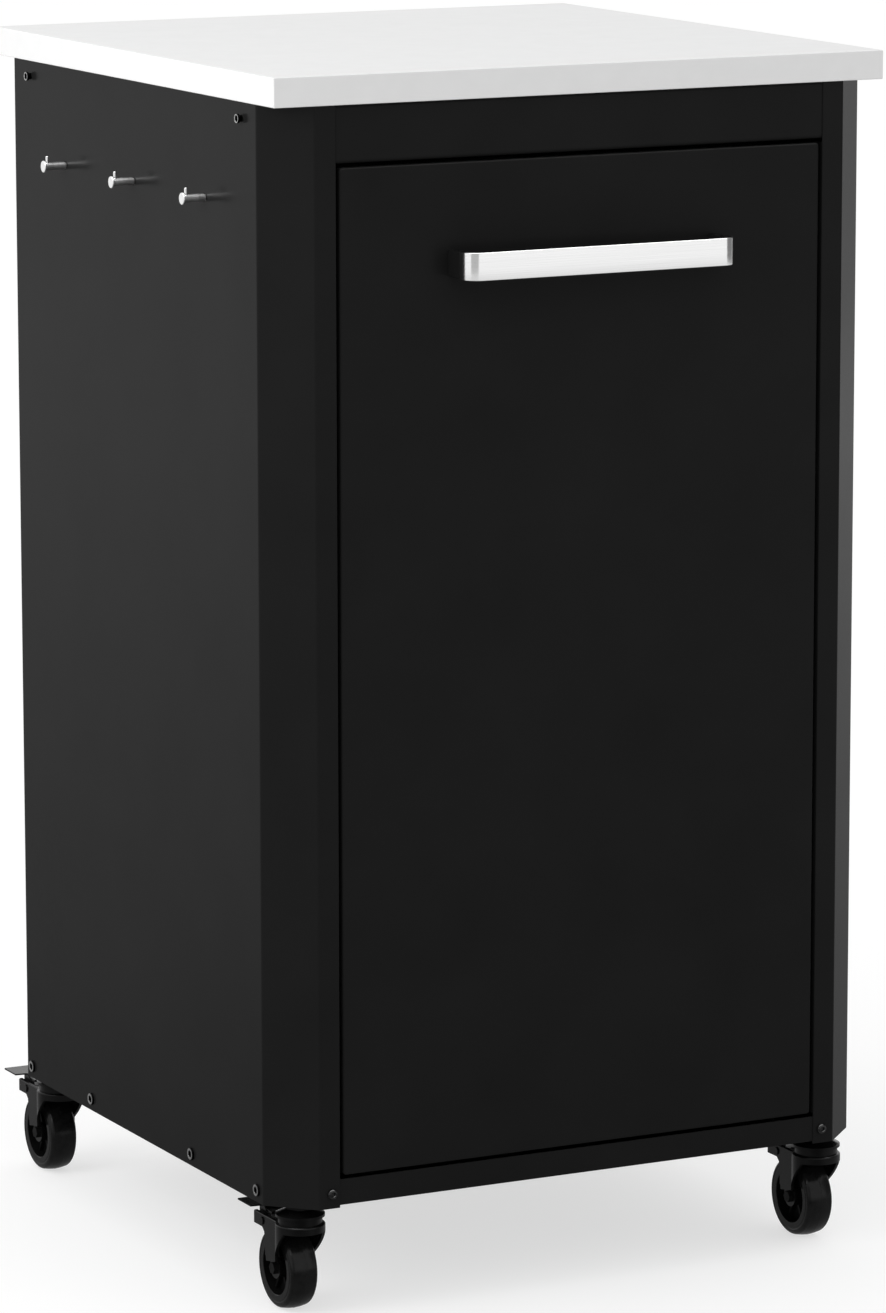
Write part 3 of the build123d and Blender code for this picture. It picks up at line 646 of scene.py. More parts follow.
@dataclass(frozen=True)
class Fasteners:
    """A group of like fasteners, seated where the solids of their node stand.

    Each solid's longest side is its axis, and its head is at the end that is wider. Its seat is one
    shank length up from its tip. A head narrower than the stud limit is a stud, and one lower than
    the low limit is a low head. The shares are of the solid's head. The rows that keep the finish's
    own tone count from the mouth of the recess outwards, and all other rows, the recess and the
    sides of the head among them, take the finish's painted shade, where it has one.
    """

    node: str
    body: str
    finish: Finish
    recess: Recess = Recess.HEX
    shank_radius: float = 2.5 * MM
    shank_length: float = 10.0 * MM
    pitch: float = 0.8 * MM
    socket_flats: float = 3.0 * MM
    socket_depth: float = 1.4 * MM
    low_socket_depth: float = 0.5 * MM
    stud_socket: float = 4.4 * MM
    stud_socket_depth: float = 1.9 * MM
    crown: float = 0.55
    bevel: float = 0.25 * MM
    rim: float = 0.9 * MM
    low_rim: float = 0.35 * MM
    stud_head: float = 2.1 * MM
    stud_limit: float = 3.6 * MM
    low_limit: float = 1.5 * MM
    reach: float = 17.0 * MM
    head_share: float = 1.0
    width_share: float = 1.0
    unshaded_row_count: int = 11
    edge_steps: int = 4
    dome_steps: int = 10
    columns: int = 24

    def seat(self, solid: Array) -> tuple[Seat, float, float]:
        """Find how a fastener stands.

        Args:
            solid: its points.

        Returns:
            Its seat, the radius of its head and the height of its head over the seat.
        """
        low, high = solid.min(axis=0), solid.max(axis=0)
        middle = (low + high) / 2
        line = int(np.argmax(high - low))
        along = solid[:, line] - middle[line]
        across = np.linalg.norm(np.delete(solid - middle, line, axis=1), axis=1)
        axis = np.zeros(3)
        axis[line] = 1.0 if across[along > 0].max() > across[along < 0].max() else -1.0
        length = high[line] - low[line]
        origin = middle + axis * (self.shank_length - length / 2)
        return Seat(origin, axis), across.max(), length - self.shank_length

    def drive(self, top: float, depth: float, flats: float) -> list[Band]:
        """The recess from the middle of its floor up to its bevelled mouth, one row a band.

        Args:
            top: the height of the head.
            depth: how deep the recess is.
            flats: how wide the recess is.

        Returns:
            Bands of heights and radii.
        """
        if self.recess is Recess.HEX:
            wall = hexagon(flats, self.columns)
        else:
            wall = np.full(self.columns, flats / 2)
        return [
            (top - depth, 0.0),
            (top - depth, wall),
            (top - self.bevel, wall),
            (top, wall + self.bevel),
        ]

    def head(self, radius: float, top: float) -> list[Band]:
        """The head, from its recess over its rim to its seat: a stud, a low head or a dome.

        Args:
            radius: the radius of the head.
            top: the height of the head over the seat.

        Returns:
            Bands of heights and radii.
        """
        flat = radius - self.bevel
        if radius < self.stud_limit:
            under = top - self.stud_head
            edge = rounded(top - self.bevel, top, flat, radius, self.edge_steps)
            neck = self.shank_radius - self.pitch / 4
            return [
                *self.drive(top, self.stud_socket_depth, self.stud_socket),
                (edge[0][::-1], edge[1][::-1]),
                (under + self.bevel, radius),
                (under, flat),
                (under, neck),
                (0.0, neck),
            ]
        top *= self.head_share
        is_low = top < self.low_limit
        rim = self.low_rim if is_low else self.rim
        depth = self.low_socket_depth if is_low else self.socket_depth
        dome = rounded(rim, top, self.crown * radius, radius, self.dome_steps)
        return [
            *self.drive(top, depth, self.socket_flats),
            (dome[0][::-1], dome[1][::-1]),
            (0.0, radius),
            (0.0, self.shank_radius),
        ]

    def build(self) -> None:
        """Make the whole group as one piece."""
        skins = []
        for solid in solids_of(self.node, self.reach):
            seat, radius, top = self.seat(solid)
            heights, radii = thread(
                -self.shank_length, -self.bevel, self.shank_radius, self.pitch, self.columns
            )
            bands = self.head(radius * self.width_share, top)
            mouth = len(self.drive(top, self.socket_depth, self.socket_flats)) - 1
            bands += [(heights[::-1], radii[::-1]), (-self.shank_length, 0.0)]
            outline = stack(self.columns, *bands)
            # Painted shade on every row except those from the mouth of the recess outwards, which keep the
            # finish's own tone
            unshaded_by_row = np.zeros(len(outline[0]))
            unshaded_by_row[mouth:mouth + self.unshaded_row_count] = 1.0
            skins.append(replace(seat.turned(*outline), unshaded_by_row=unshaded_by_row))
        make_piece(f"{self.node}_threaded", skins, self.body, self.finish, [self.node])


SCREWS = (
    Fasteners(
        "side_screws",
        "cabinet",
        BLACK_OXIDE,
        socket_flats=5.0 * MM,
        socket_depth=1.5 * MM,
        rim=1.2 * MM,
        crown=0.88,
        head_share=0.6,
        # Only the flat ring round the socket keeps its own tone; the rest of each head takes painted shade
        unshaded_row_count=2,
    ),
    Fasteners("flange_screws", "cabinet", BLACK_LACQUER, width_share=0.82),
    Fasteners("back_screws", "cabinet", BLACK_OXIDE),
    Fasteners("worktop_screws", "cabinet", ZINC),
    Fasteners("bracket_rivets", "cabinet", ZINC, Recess.ROUND),
    Fasteners("runner_screws", "cabinet", ZINC),
    Fasteners("tray_screws", "drawer", ZINC),
    Fasteners("handle_screws", "drawer", ZINC),
)


@dataclass(frozen=True)
class ToolPeg:
    """A satin peg with a neck in the panel, a disc at its tip, a stop pin and a threaded stud inside."""

    name: str
    stud_length: float = 10.0 * MM
    stud_radius: float = 3.0 * MM
    stud_pitch: float = 1.0 * MM
    sheet: float = 1.0 * MM
    neck_radius: float = 2.1 * MM
    neck_length: float = 0.5 * MM
    shaft_radius: float = 3.0 * MM
    disc: float = 1.5 * MM
    edge: float = 0.3 * MM
    tip_round: float = 0.6 * MM
    tip_dish: float = 0.15 * MM
    pin_radius: float = 1.25 * MM
    pin_inset: float = 3.7 * MM
    pin_round: float = 0.5 * MM
    pin_trim: float = 0.9 * MM
    tip_steps: int = 8
    pin_steps: int = 6
    columns: int = 48

    def build(self) -> None:
        """Make the peg and its pin as one piece."""
        node = f"tool_hook_{self.name}"
        low, high = box_of(node)
        radius = (high[1] - low[1]) / 2
        length = high[0] - low[0] - self.stud_length
        foot = np.array((high[0] - self.stud_length, low[1] + radius, low[2] + radius))
        stud = thread(-self.stud_length, -self.sheet, self.stud_radius, self.stud_pitch, self.columns)
        tip = rounded(length - self.tip_round, length, radius - self.tip_round, radius, self.tip_steps)
        peg = Seat(foot, np.array((-1.0, 0.0, 0.0))).turned(*stack(
            self.columns,
            (-self.stud_length, 0.0),
            stud,
            (-self.sheet, self.neck_radius),
            (self.neck_length, self.neck_radius),
            (self.neck_length, self.shaft_radius - self.edge),
            (self.neck_length + self.edge, self.shaft_radius),
            (length - self.disc, self.shaft_radius),
            (length - self.disc, radius - self.edge),
            (length - self.disc + self.edge, radius),
            tip,
            (length - self.tip_dish, radius / 2),
            (length - self.tip_dish, 0.0),
        ))
        pin_foot = np.array((low[0] + self.pin_inset, foot[1], foot[2]))
        pin_top = high[2] - foot[2] - self.pin_trim
        pin_flat = self.pin_radius - self.pin_round
        cap = rounded(pin_top - self.pin_round, pin_top, pin_flat, self.pin_radius, self.pin_steps)
        pin = Seat(pin_foot, np.array((0.0, 0.0, 1.0))).turned(*stack(
            self.columns, (0.0, 0.0), (0.0, self.pin_radius), cap, (pin_top, 0.0)
        ))
        make_piece(f"tool_peg_{self.name}", [peg, pin], "cabinet", SATIN_STEEL, [node])


@dataclass(frozen=True)
class HexNuts:
    """Nuts with bevelled corners: a hexagon trimmed to a share of its flats at both ends."""

    node: str
    body: str
    bore_radius: float
    axis: Triple
    reach: float
    bevel: float = 0.5 * MM
    trim: float = 0.97
    columns: int = 48

    def build(self) -> None:
        """Make all nuts of the node as one piece."""
        line = int(np.argmax(np.abs(self.axis)))
        skins = []
        for solid in solids_of(self.node, self.reach):
            low, high = solid.min(axis=0), solid.max(axis=0)
            height = high[line] - low[line]
            flats = np.delete(high - low, line).min()
            wall = hexagon(flats, self.columns)
            trimmed = np.minimum(wall, self.trim * flats / 2)
            origin = (low + high) / 2
            skins.append(Seat(origin, np.array(self.axis)).turned(*stack(
                self.columns,
                (-height / 2, self.bore_radius),
                (-height / 2, trimmed),
                (self.bevel - height / 2, wall),
                (height / 2 - self.bevel, wall),
                (height / 2, trimmed),
                (height / 2, self.bore_radius),
            ), rows_close=True))
        make_piece(f"{self.node}_bevelled", skins, self.body, ZINC, [self.node])


NUTS = (
    HexNuts("hook_nuts", "cabinet", bore_radius=3.0 * MM, axis=(1.0, 0.0, 0.0), reach=15.0 * MM),
    HexNuts("stem_nuts", "cabinet", bore_radius=5.0 * MM, axis=(0.0, 0.0, 1.0), reach=25.0 * MM),
)


@dataclass(frozen=True)
class PullHandle:
    """A flat bar bent to a bow, under a thin brushed cover that wraps its front and bends."""

    bend: float = 11.5 * MM
    bar_thickness: float = 7.0 * MM
    cover_thickness: float = 1.0 * MM
    bar_edge: float = 0.7 * MM
    cover_edge: float = 0.35 * MM
    arc_steps: int = 28
    edge_steps: int = 6

    def bow(self, half: float, front: float, back: float, radius: float) -> tuple[Array, Array]:
        """The bow in plan: a leg, a quarter turn, the straight front, a quarter turn and a leg.

        Args:
            half: half its width.
            front: the Y of its front.
            back: the Y where the legs end.
            radius: the radius of its bends.

        Returns:
            The points in X and Y, and the outward direction at each.
        """
        angles = np.linspace(np.pi, 1.5 * np.pi, self.arc_steps)
        turn = np.column_stack((np.cos(angles), np.sin(angles)))
        left = turn * radius + (radius - half, front + radius)
        mirror = np.array((-1.0, 1.0))
        points = np.vstack(((-half, back), left, left[::-1] * mirror, (half, back)))
        outward = np.vstack(((-1.0, 0.0), turn, turn[::-1] * mirror, (1.0, 0.0)))
        return points, outward

    def section(self, depth: float, height: float, edge: float) -> Array:
        """A rectangle with rounded edges, from the outer face inwards.

        Args:
            depth: its thickness, inwards from the outer face.
            height: its height, with the middle at 0.
            edge: the radius of its edges.

        Returns:
            Its points, as a distance outwards and a height.
        """
        angles = np.linspace(0.0, np.pi / 2, self.edge_steps)
        quarter = np.column_stack((np.cos(angles), np.sin(angles))) * edge
        outer = quarter + (-edge, height / 2 - edge)
        inner = (quarter * (-1.0, 1.0))[::-1] + (edge - depth, height / 2 - edge)
        upper = np.vstack((outer, inner))
        return np.vstack((upper, upper[::-1] * (1.0, -1.0)))

    def band(self, node: str, depth: float, edge: float, radius: float) -> Skin:
        """The section carried along the bow, with its two ends drawn together into flat caps.

        Args:
            node: the node whose box gives its reach.
            depth: its thickness.
            edge: the radius of its edges.
            radius: the outer radius of its bends.

        Returns:
            The closed surface.
        """
        low, high = box_of(node)
        points, outward = self.bow(high[0], low[1], high[1], radius)
        outline = self.section(depth, high[2] - low[2], edge)
        plan = points[:, None, :] + outward[:, None, :] * outline[None, :, :1]
        level = np.broadcast_to(outline[:, 1] + (low[2] + high[2]) / 2, plan.shape[:2])
        grid = np.concatenate((plan, level[..., None]), axis=-1)
        ends = np.broadcast_to(grid.mean(axis=1, keepdims=True), grid.shape)
        return Skin(np.vstack((ends[:1], grid, ends[-1:])))

    def build(self) -> None:
        """Make the bar and its cover."""
        bar = self.band("handle_bar", self.bar_thickness, self.bar_edge, self.bend)
        make_piece("handle_bow", [bar], "drawer", POWDER_COAT, ["handle_bar"])
        cover = self.band(
            "handle_cover", self.cover_thickness, self.cover_edge, self.bend + self.cover_thickness
        )
        make_piece("handle_sleeve", [cover], "drawer", BRUSHED_STEEL, ["handle_cover"])


@dataclass(frozen=True)
class Tyre:
    """A moulded tyre: a crowned tread with a parting line, round shoulders, and beads inside the rim."""

    corner: str
    shoulder: float = 3.6 * MM
    crown: float = 0.9 * MM
    parting: float = 0.12 * MM
    parting_width: float = 0.35 * MM
    ring_depth: float = 0.3 * MM
    ring_width: float = 0.45 * MM
    bead_radius: float = 20.2 * MM
    bead_half: float = 10.05 * MM
    bead_round: float = 0.4 * MM
    tread_steps: int = 41
    shoulder_steps: int = 10
    side_steps: int = 20
    columns: int = 120

    def build(self) -> None:
        """Make the tyre.

        Over the width x from the middle, the tread's radius is R - p - c (x / w)^2 + p exp(-(x / l)^2),
        with the crown c, the parting line p of width l and the tread's half width w. The sides dip
        by a bell curve of the radius where the ring runs, and go down to the bead inside the rim.
        """
        node = f"tyre_{self.corner}"
        low, high = box_of(node)
        centre = (low + high) / 2
        half = (high[0] - low[0]) / 2
        outer = (high[2] - low[2]) / 2
        away = node_points(node) - centre
        inner = np.hypot(away[:, 1], away[:, 2]).min()
        edge = half - self.shoulder
        x = np.linspace(-edge, edge, self.tread_steps)
        tread = outer - self.parting - self.crown * (x / edge) ** 2
        tread += self.parting * np.exp(-((x / self.parting_width) ** 2))
        top = outer - self.parting - self.crown
        angles = np.linspace(0.0, np.pi / 2, self.shoulder_steps)[:-1]
        round_x = -edge - self.shoulder * np.cos(angles)
        round_r = top - self.shoulder * (1 - np.sin(angles))
        lip = self.bead_radius + self.bead_round
        side_r = np.linspace(lip, top - self.shoulder, self.side_steps)[:-1]
        ring = top - self.shoulder - 2 * self.ring_width
        side_x = self.ring_depth * np.exp(-(((side_r - ring) / self.ring_width) ** 2)) - half
        bead_x = (-self.bead_half, -self.bead_half, self.bead_round - half)
        lip_x = np.concatenate((bead_x, side_x, round_x))
        lip_r = np.concatenate(((inner, self.bead_radius, self.bead_radius), side_r, round_r))
        across = np.concatenate((lip_x, x, -lip_x[::-1]))
        radii = np.concatenate((lip_r, tread, lip_r[::-1]))
        wheel = Seat(centre, np.array((1.0, 0.0, 0.0)))
        skin = wheel.turned(*stack(self.columns, (across, radii[:, None])), rows_close=True)
        make_piece(f"moulded_tyre_{self.corner}", [skin], f"wheel_{self.corner}", RUBBER, [node])


@dataclass(frozen=True)
class BrakePedal:
    """A pressed pedal: a plate that jogs up into a thin, wide, level tail, two cheeks, a shoe and a pin.

    Lengths run back from the plate's front edge, and heights up from the lowest point of the shoe.
    """

    corner: str
    width: float = 22.6 * MM
    sheet: float = 2.0 * MM
    tail_sheet: float = 1.2 * MM
    under: float = 11.7 * MM
    flare_from: float = 15.0 * MM
    flare_length: float = 1.5 * MM
    jog_from: float = 8.0 * MM
    jog: float = 6.0 * MM
    rise: float = 2.6 * MM
    corner_round: float = 0.6 * MM
    edge: float = 0.2 * MM
    pivot_along: float = 9.0 * MM
    pivot_height: float = 5.2 * MM
    cheek_sheet: float = 2.2 * MM
    cheek_round: float = 3.8 * MM
    shoe_reach: float = 12.0 * MM
    pin_radius: float = 2.0 * MM
    pin_head_radius: float = 3.0 * MM
    pin_head: float = 0.8 * MM
    pin_half: float = 16.1 * MM
    plate_rows: int = 104
    corner_steps: int = 6
    columns: int = 32

    def plate(self, origin: Array, length: float, flare: float) -> Skin:
        """The plate: a bevelled strip carried back along a line that jogs up.

        With s = 3 t^2 - 2 t^3 of the share t of the jog, the line rises by s times the rise, and the
        sheet thins from its front to its tail by s. The half width grows evenly over the flare, and a
        quarter circle rounds the rear corners.

        Args:
            origin: the middle of the plate's front edge, at the height of the shoe's lowest point.
            length: how far the plate reaches back.
            flare: the width of the tail.

        Returns:
            The closed surface.
        """
        flare_end = self.flare_from + self.flare_length
        turn = length - self.corner_round
        corner = turn + self.corner_round * np.sin(np.linspace(0.0, np.pi / 2, self.corner_steps))
        along = np.concatenate((np.linspace(0.0, turn, self.plate_rows, endpoint=False), corner))
        half = np.interp(along, (self.flare_from, flare_end), (self.width / 2, flare / 2))
        past = np.clip(along - turn, 0.0, self.corner_round)
        half -= self.corner_round - np.sqrt(self.corner_round**2 - past**2)
        share = np.clip((along - self.jog_from) / self.jog, 0.0, 1.0)
        smooth = share**2 * (3 - 2 * share)
        middle = self.under + self.sheet / 2 + self.rise * smooth
        thick = (self.sheet + (self.tail_sheet - self.sheet) * smooth) / 2
        side = np.array((1, 1, -1, -1, -1, -1, 1, 1))
        level = np.array((1, 1, 1, 1, -1, -1, -1, -1))
        inset = self.edge * np.array((0, 1, 1, 0, 0, 1, 1, 0))
        rows = np.empty((len(along), len(side), 3))
        rows[..., 0] = side * (half[:, None] - inset)
        rows[..., 1] = along[:, None]
        rows[..., 2] = middle[:, None] + level * (thick[:, None] - self.edge + inset)
        caps = rows[[0, -1]].mean(axis=1, keepdims=True).repeat(len(side), axis=1)
        return Skin(origin + np.concatenate((caps[:1], rows, caps[1:])))

    def slab(self, origin: Array, low: float, high: float, outline: Array) -> Skin:
        """A flat outline carried across, from one place to another.

        Args:
            origin: the middle of the plate's front edge, at the height of the shoe's lowest point.
            low: where the slab starts, to the right of the middle.
            high: where it ends.
            outline: the length and height of each corner.

        Returns:
            The closed surface.
        """
        middle = np.broadcast_to(outline.mean(axis=0), outline.shape)
        rows = np.empty((4, len(outline), 3))
        rows[..., 0] = np.array((low, low, high, high))[:, None]
        rows[..., 1:] = (middle, outline, outline, middle)
        return Skin(origin + rows)

    def build(self) -> None:
        """Make the pedal: plate, cheeks, shoe and pin."""
        node = f"brake_pedal_{self.corner}"
        low, high = box_of(node)
        origin = np.array(((low[0] + high[0]) / 2, low[1], low[2]))
        along, height = self.pivot_along, self.pivot_height
        back = along + self.shoe_reach
        foot = [
            (back, height - self.cheek_round),
            (along + self.cheek_round, 0.0),
            (along, height - self.cheek_round),
            (along - self.cheek_round, height),
        ]
        top = self.under + self.sheet / 2
        floor = height + self.cheek_sheet
        raised = [(self.jog_from + self.jog, top + self.rise), (back, top + self.rise)]
        cheek = np.array([(along - self.cheek_round, top), *raised, *foot])
        shoe = np.array([(along - self.cheek_round, floor), (back, floor), *foot])
        outside = self.width / 2
        inside = outside - self.cheek_sheet
        neck = self.pin_half - self.pin_head
        pin_x = np.array((self.pin_half, self.pin_half, self.pin_half - self.edge, neck, neck))
        head = self.pin_head_radius
        pin_r = np.array((0.0, head - self.edge, head, head, self.pin_radius))
        pin = Seat(origin + np.array((0.0, along, height)), np.array((1.0, 0.0, 0.0)))
        pin_rows = stack(self.columns, (-pin_x, pin_r[:, None]), (pin_x[::-1], pin_r[::-1, None]))
        skins = [
            self.plate(origin, high[1] - low[1], high[0] - low[0]),
            self.slab(origin, -outside, -inside, cheek),
            self.slab(origin, inside, outside, cheek),
            self.slab(origin, -inside, inside, shoe),
            pin.turned(*pin_rows),
        ]
        make_piece(f"pressed_pedal_{self.corner}", skins, f"brake_{self.corner}", CASTER_STEEL, [node])


def facing(place: Array, target: Array) -> Array:
    """The placing of something whose -Z faces a target and whose X is level.

    Args:
        place: where it is.
        target: the point that it faces.

    Returns:
        A 4 by 4 matrix.
    """
    back = (place - target) / np.linalg.norm(place - target)
    right = np.cross((0.0, 0.0, 1.0), back)
    right /= np.linalg.norm(right)
    turn = np.eye(4)
    turn[:3, :3] = np.column_stack((right, np.cross(back, right), back))
    turn[:3, 3] = place
    return turn


def stage_sheet(name: str, corners: Array) -> tuple[bpy.types.Object, bpy.types.NodeTree]:
    """A flat sheet of the studio, with an empty material of its own.

    Args:
        name: its name.
        corners: its four corners in turn.

    Returns:
        The sheet and the node tree of its material.
    """
    mesh = bpy.data.meshes.new(name)
    mesh.from_pydata(corners.tolist(), [], [(0, 1, 2, 3)])
    material = bpy.data.materials.new(name)
    material.use_nodes = True
    material.node_tree.nodes.clear()
    mesh.materials.append(material)
    sheet = bpy.data.objects.new(name, mesh)
    bpy.context.scene.collection.objects.link(sheet)
    return sheet, material.node_tree


@dataclass(frozen=True)
class Softbox:
    """An area lamp that points at the middle of the unit."""

    name: str
    place: Triple
    size: float
    watts: float

    def build(self, target: Array) -> None:
        """Hang the lamp.

        Args:
            target: the point that it shines at.
        """
        lamp = bpy.data.lights.new(self.name, "AREA")
        lamp.shape = "SQUARE"
        lamp.size = self.size
        lamp.energy = self.watts
        holder = bpy.data.objects.new(self.name, lamp)
        bpy.context.scene.collection.objects.link(holder)
        holder.visible_camera = False
        holder.visible_glossy = False
        holder.matrix_world = Matrix(facing(np.array(self.place), target).tolist())


@dataclass(frozen=True)
class MirrorPanel:
    """A bright or dim panel that only glossy surfaces see, for glints on edges and bands on the handle."""

    name: str
    centre: Triple
    size: tuple[float, float]
    level: float

    def build(self, target: Array) -> None:
        """Hang the panel.

        Args:
            target: the point that it faces.
        """
        turn = facing(np.array(self.centre), target)
        corners = SQUARE * np.array(self.size) / 2
        panel, tree = stage_sheet(self.name, turn[:3, 3] + corners @ turn[:3, :2].T)
        for ray in ("camera", "diffuse", "transmission", "shadow", "volume_scatter"):
            setattr(panel, f"visible_{ray}", False)
        glow = tree.nodes.new("ShaderNodeEmission")
        glow.inputs["Strength"].default_value = self.level
        output = tree.nodes.new("ShaderNodeOutputMaterial")
        tree.links.new(glow.outputs["Emission"], output.inputs["Surface"])


@dataclass(frozen=True)
class DimPatch:
    """A round stretch of floor with painted shade that only reflections show, where something would keep
    light off it.

    Its tone holds up to the reach from its centre, and rises to full brightness at the end.
    """

    centre: Triple
    reach: float
    end: float
    tone: float


@dataclass(frozen=True)
class Studio:
    """Plain pale floor, even surroundings, panels for the reflections and a soft lamp."""

    floor_size: float = 30.0
    floor_tone: float = 0.42
    floor_glow: float = 0.63
    floor_bounce: float = 0.25
    # Painted shade on the floor as reflections see it: the unit's own shadow, a stretch to its front left,
    # a stretch far to the right and back, and the shadows of the front wheels
    patches: tuple[DimPatch, ...] = (
        DimPatch((0.0, 0.0, 0.0), 0.4, 4.5, 0.40),
        DimPatch((-0.9, -0.55, 0.0), 0.2, 1.6, 0.45),
        DimPatch((7.6, 3.9, 0.0), 1.5, 4.0, 0.72),
        DimPatch((-0.34, -0.47, 0.0), 0.08, 0.22, 0.25),
        DimPatch((0.11, -0.47, 0.0), 0.08, 0.22, 0.25),
    )
    panels: tuple[MirrorPanel, ...] = (
        MirrorPanel("overhead_panel", (0.0, -0.5, 3.2), (4.4, 2.4), 6.0),
        MirrorPanel("front_left_panel", (-3.0, -2.2, 2.6), (0.7, 0.7), 8.0),
        MirrorPanel("camera_flag", (-1.85, -3.0, 1.2), (3.2, 2.4), 0.50),
        MirrorPanel("right_flag", (3.35, -1.1, 1.2), (3.5, 2.4), 0.20),
    )
    surround: float = 0.90
    target: Triple = (0.0, 0.0, 0.45)
    lamps: tuple[Softbox, ...] = (
        Softbox("key_left", (-1.5, -0.1, 1.1), 0.9, 9.0),
    )

    def seen(self, tree: bpy.types.NodeTree, level: float, rest: float) -> bpy.types.NodeSocket:
        """A value that is one level for camera, glossy and transmission rays, and another for the rest.

        Args:
            tree: the node tree to work in.
            level: the value where the ray is one of these.
            rest: the value for all other rays.

        Returns:
            The value's socket.
        """
        path = tree.nodes.new("ShaderNodeLightPath")
        either = path.outputs["Is Camera Ray"]
        for ray in ("Is Glossy Ray", "Is Transmission Ray"):
            larger = tree.nodes.new("ShaderNodeMath")
            larger.operation = "MAXIMUM"
            tree.links.new(either, larger.inputs[0])
            tree.links.new(path.outputs[ray], larger.inputs[1])
            either = larger.outputs["Value"]
        scaled = tree.nodes.new("ShaderNodeMath")
        scaled.operation = "MULTIPLY_ADD"
        scaled.inputs[1].default_value = level - rest
        scaled.inputs[2].default_value = rest
        tree.links.new(either, scaled.inputs[0])
        return scaled.outputs["Value"]

    def mirrored(self, tree: bpy.types.NodeTree) -> bpy.types.NodeSocket:
        """How bright the floor is in reflections: the product of its dim patches.

        The patches paint shade on the floor as reflections see it: the first paints the shadow of the
        unit itself, the last two those of its front wheels, and the rest lie to both sides.

        Args:
            tree: the node tree to work in.

        Returns:
            The brightness, up to 1.
        """
        place = tree.nodes.new("ShaderNodeTexCoord").outputs["Object"]
        product = None
        for patch in self.patches:
            away = tree.nodes.new("ShaderNodeVectorMath")
            away.operation = "DISTANCE"
            away.inputs[1].default_value = patch.centre
            tree.links.new(place, away.inputs[0])
            ramp = tree.nodes.new("ShaderNodeMapRange")
            ramp.inputs["From Min"].default_value = patch.reach
            ramp.inputs["From Max"].default_value = patch.end
            ramp.inputs["To Min"].default_value = patch.tone
            tree.links.new(away.outputs["Value"], ramp.inputs["Value"])
            if product is None:
                product = ramp.outputs["Result"]
                continue
            times = tree.nodes.new("ShaderNodeMath")
            times.operation = "MULTIPLY"
            tree.links.new(product, times.inputs[0])
            tree.links.new(ramp.outputs["Result"], times.inputs[1])
            product = times.outputs["Value"]
        return product

    def build_floor(self) -> None:
        """A flat pale floor whose own glow takes it up to white where no shadow falls.

        Glossy surfaces see it as white instead, with shade painted in by the patches.
        """
        corners = np.column_stack((SQUARE * self.floor_size / 2, np.zeros(len(SQUARE))))
        floor, tree = stage_sheet("studio_floor", corners)
        matte = tree.nodes.new("ShaderNodeBsdfDiffuse")
        matte.inputs["Color"].default_value = (*grey(self.floor_tone), 1.0)
        glow = tree.nodes.new("ShaderNodeEmission")
        both = tree.nodes.new("ShaderNodeAddShader")
        output = tree.nodes.new("ShaderNodeOutputMaterial")
        tree.links.new(self.seen(tree, self.floor_glow, self.floor_bounce), glow.inputs["Strength"])
        tree.links.new(matte.outputs["BSDF"], both.inputs[0])
        tree.links.new(glow.outputs["Emission"], both.inputs[1])
        # Painted shade: glossy rays see the floor as a glow dimmed by the patches
        mirror = tree.nodes.new("ShaderNodeEmission")
        tree.links.new(self.mirrored(tree), mirror.inputs["Strength"])
        choice = tree.nodes.new("ShaderNodeMixShader")
        glossy = tree.nodes.new("ShaderNodeLightPath").outputs["Is Glossy Ray"]
        tree.links.new(glossy, choice.inputs["Fac"])
        tree.links.new(both.outputs["Shader"], choice.inputs[1])
        tree.links.new(mirror.outputs["Emission"], choice.inputs[2])
        tree.links.new(choice.outputs["Shader"], output.inputs["Surface"])

    def build_world(self) -> None:
        """White surroundings where they are seen, and an even softer light on matt surfaces."""
        world = bpy.data.worlds.new("studio_world")
        world.use_nodes = True
        tree = world.node_tree
        background = tree.nodes["Background"]
        background.inputs["Color"].default_value = (*grey(1.0), 1.0)
        tree.links.new(self.seen(tree, 1.0, self.surround), background.inputs["Strength"])
        bpy.context.scene.world = world

    def build(self) -> None:
        """Set up the plain view transform, the floor, the panels, the surroundings and the lamp."""
        bpy.context.scene.view_settings.view_transform = "Standard"
        self.build_floor()
        for panel in self.panels:
            panel.build(np.array(self.target))
        self.build_world()
        for lamp in self.lamps:
            lamp.build(np.array(self.target))


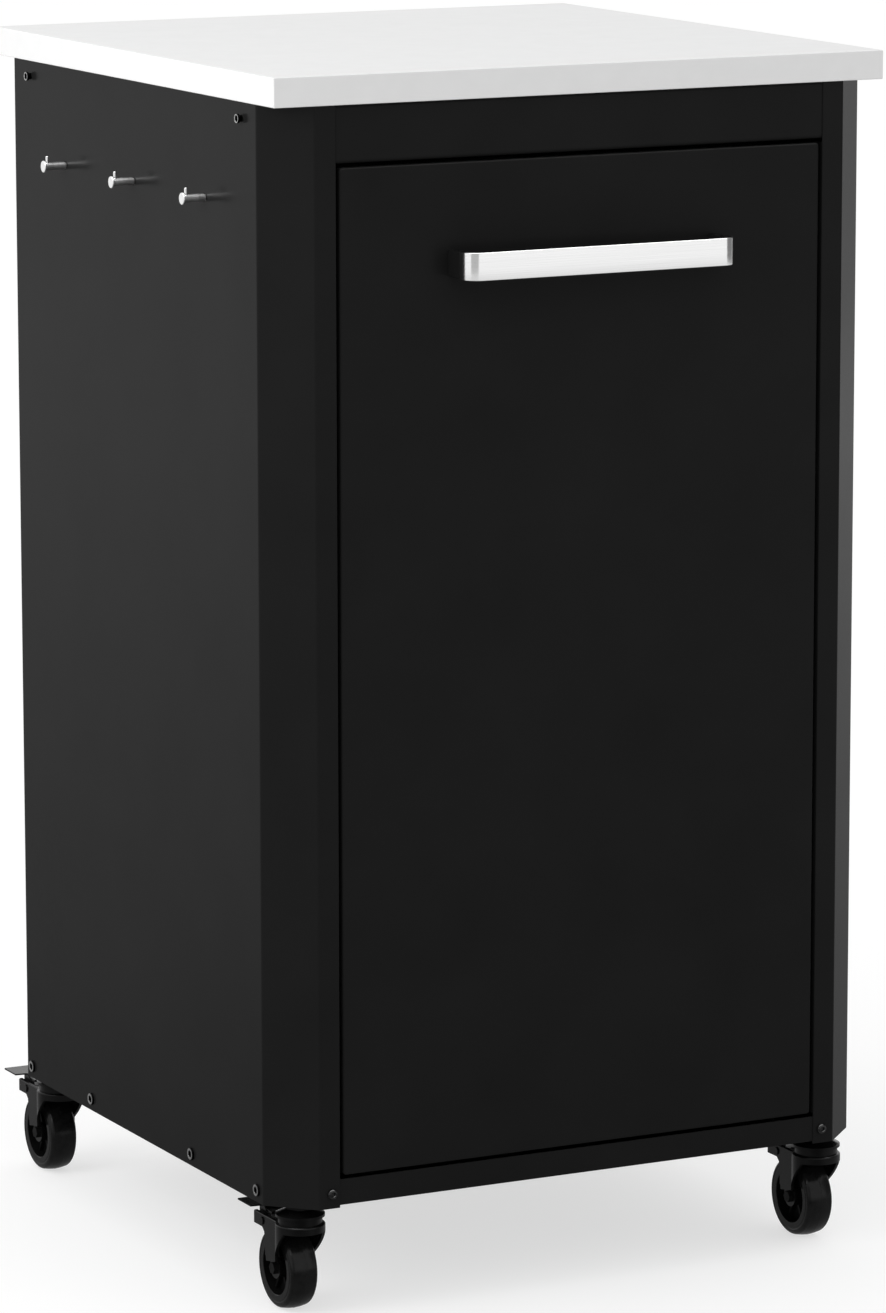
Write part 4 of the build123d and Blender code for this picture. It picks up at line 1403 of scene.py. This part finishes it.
@dataclass(frozen=True)
class Viewpoint:
    """The camera at the photograph's viewing angle.

    The unit vector back to the camera is (sin a cos e, -cos a cos e, sin e) for the azimuth a and
    the elevation e, its level right vector is (cos a, sin a, 0), and the roll turns right and up.
    """

    azimuth: float = -26.874
    elevation: float = 10.397
    roll: float = -0.075
    place: Triple = (-2.1433, -4.2523, 1.3124)
    focal_pixels: float = 6267.35
    image_height: int = 1313
    long_sensor: float = 36.0
    clip_end: float = 200.0

    def build(self) -> None:
        """Make the camera and put it to use."""
        a, e, r = np.radians((self.azimuth, self.elevation, self.roll))
        back = np.array((np.sin(a) * np.cos(e), -np.cos(a) * np.cos(e), np.sin(e)))
        level = np.array((np.cos(a), np.sin(a), 0.0))
        upright = np.cross(back, level)
        turn = np.eye(4)
        turn[:3, 0] = np.cos(r) * level + np.sin(r) * upright
        turn[:3, 1] = np.cos(r) * upright - np.sin(r) * level
        turn[:3, 2] = back
        turn[:3, 3] = self.place
        camera = bpy.data.cameras.new("photo_camera")
        camera.sensor_width = self.long_sensor
        camera.lens = self.focal_pixels / self.image_height * self.long_sensor
        camera.clip_end = self.clip_end
        holder = bpy.data.objects.new("photo_camera", camera)
        bpy.context.scene.collection.objects.link(holder)
        holder.matrix_world = Matrix(turn.tolist())
        bpy.context.scene.camera = holder


def dress_carried_over() -> None:
    """Give every node that still shows the finish of its material slot, and axles a duller one."""
    for name, node in frame["nodes"].items():
        if node.hide_render:
            continue
        slot_finish = CARRIED_OVER[node.data.materials[0].name]
        finish = AXLE_STEEL if name.startswith("caster_axle") else slot_finish
        finish.dress(node)
        log.info("carried over %s", name)


def main() -> None:
    """Build and dress the unit, then the studio and the camera."""
    logging.basicConfig(level=logging.INFO, format="%(name)s: %(message)s")
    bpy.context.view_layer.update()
    for group in SCREWS:
        group.build()
    for name in ("front", "middle", "rear"):
        ToolPeg(name).build()
    for group in NUTS:
        group.build()
    PullHandle().build()
    for corner in CORNERS:
        Tyre(corner).build()
        BrakePedal(corner).build()
    dress_carried_over()
    Studio().build()
    Viewpoint().build()


if __name__ == "__main__":
    main()
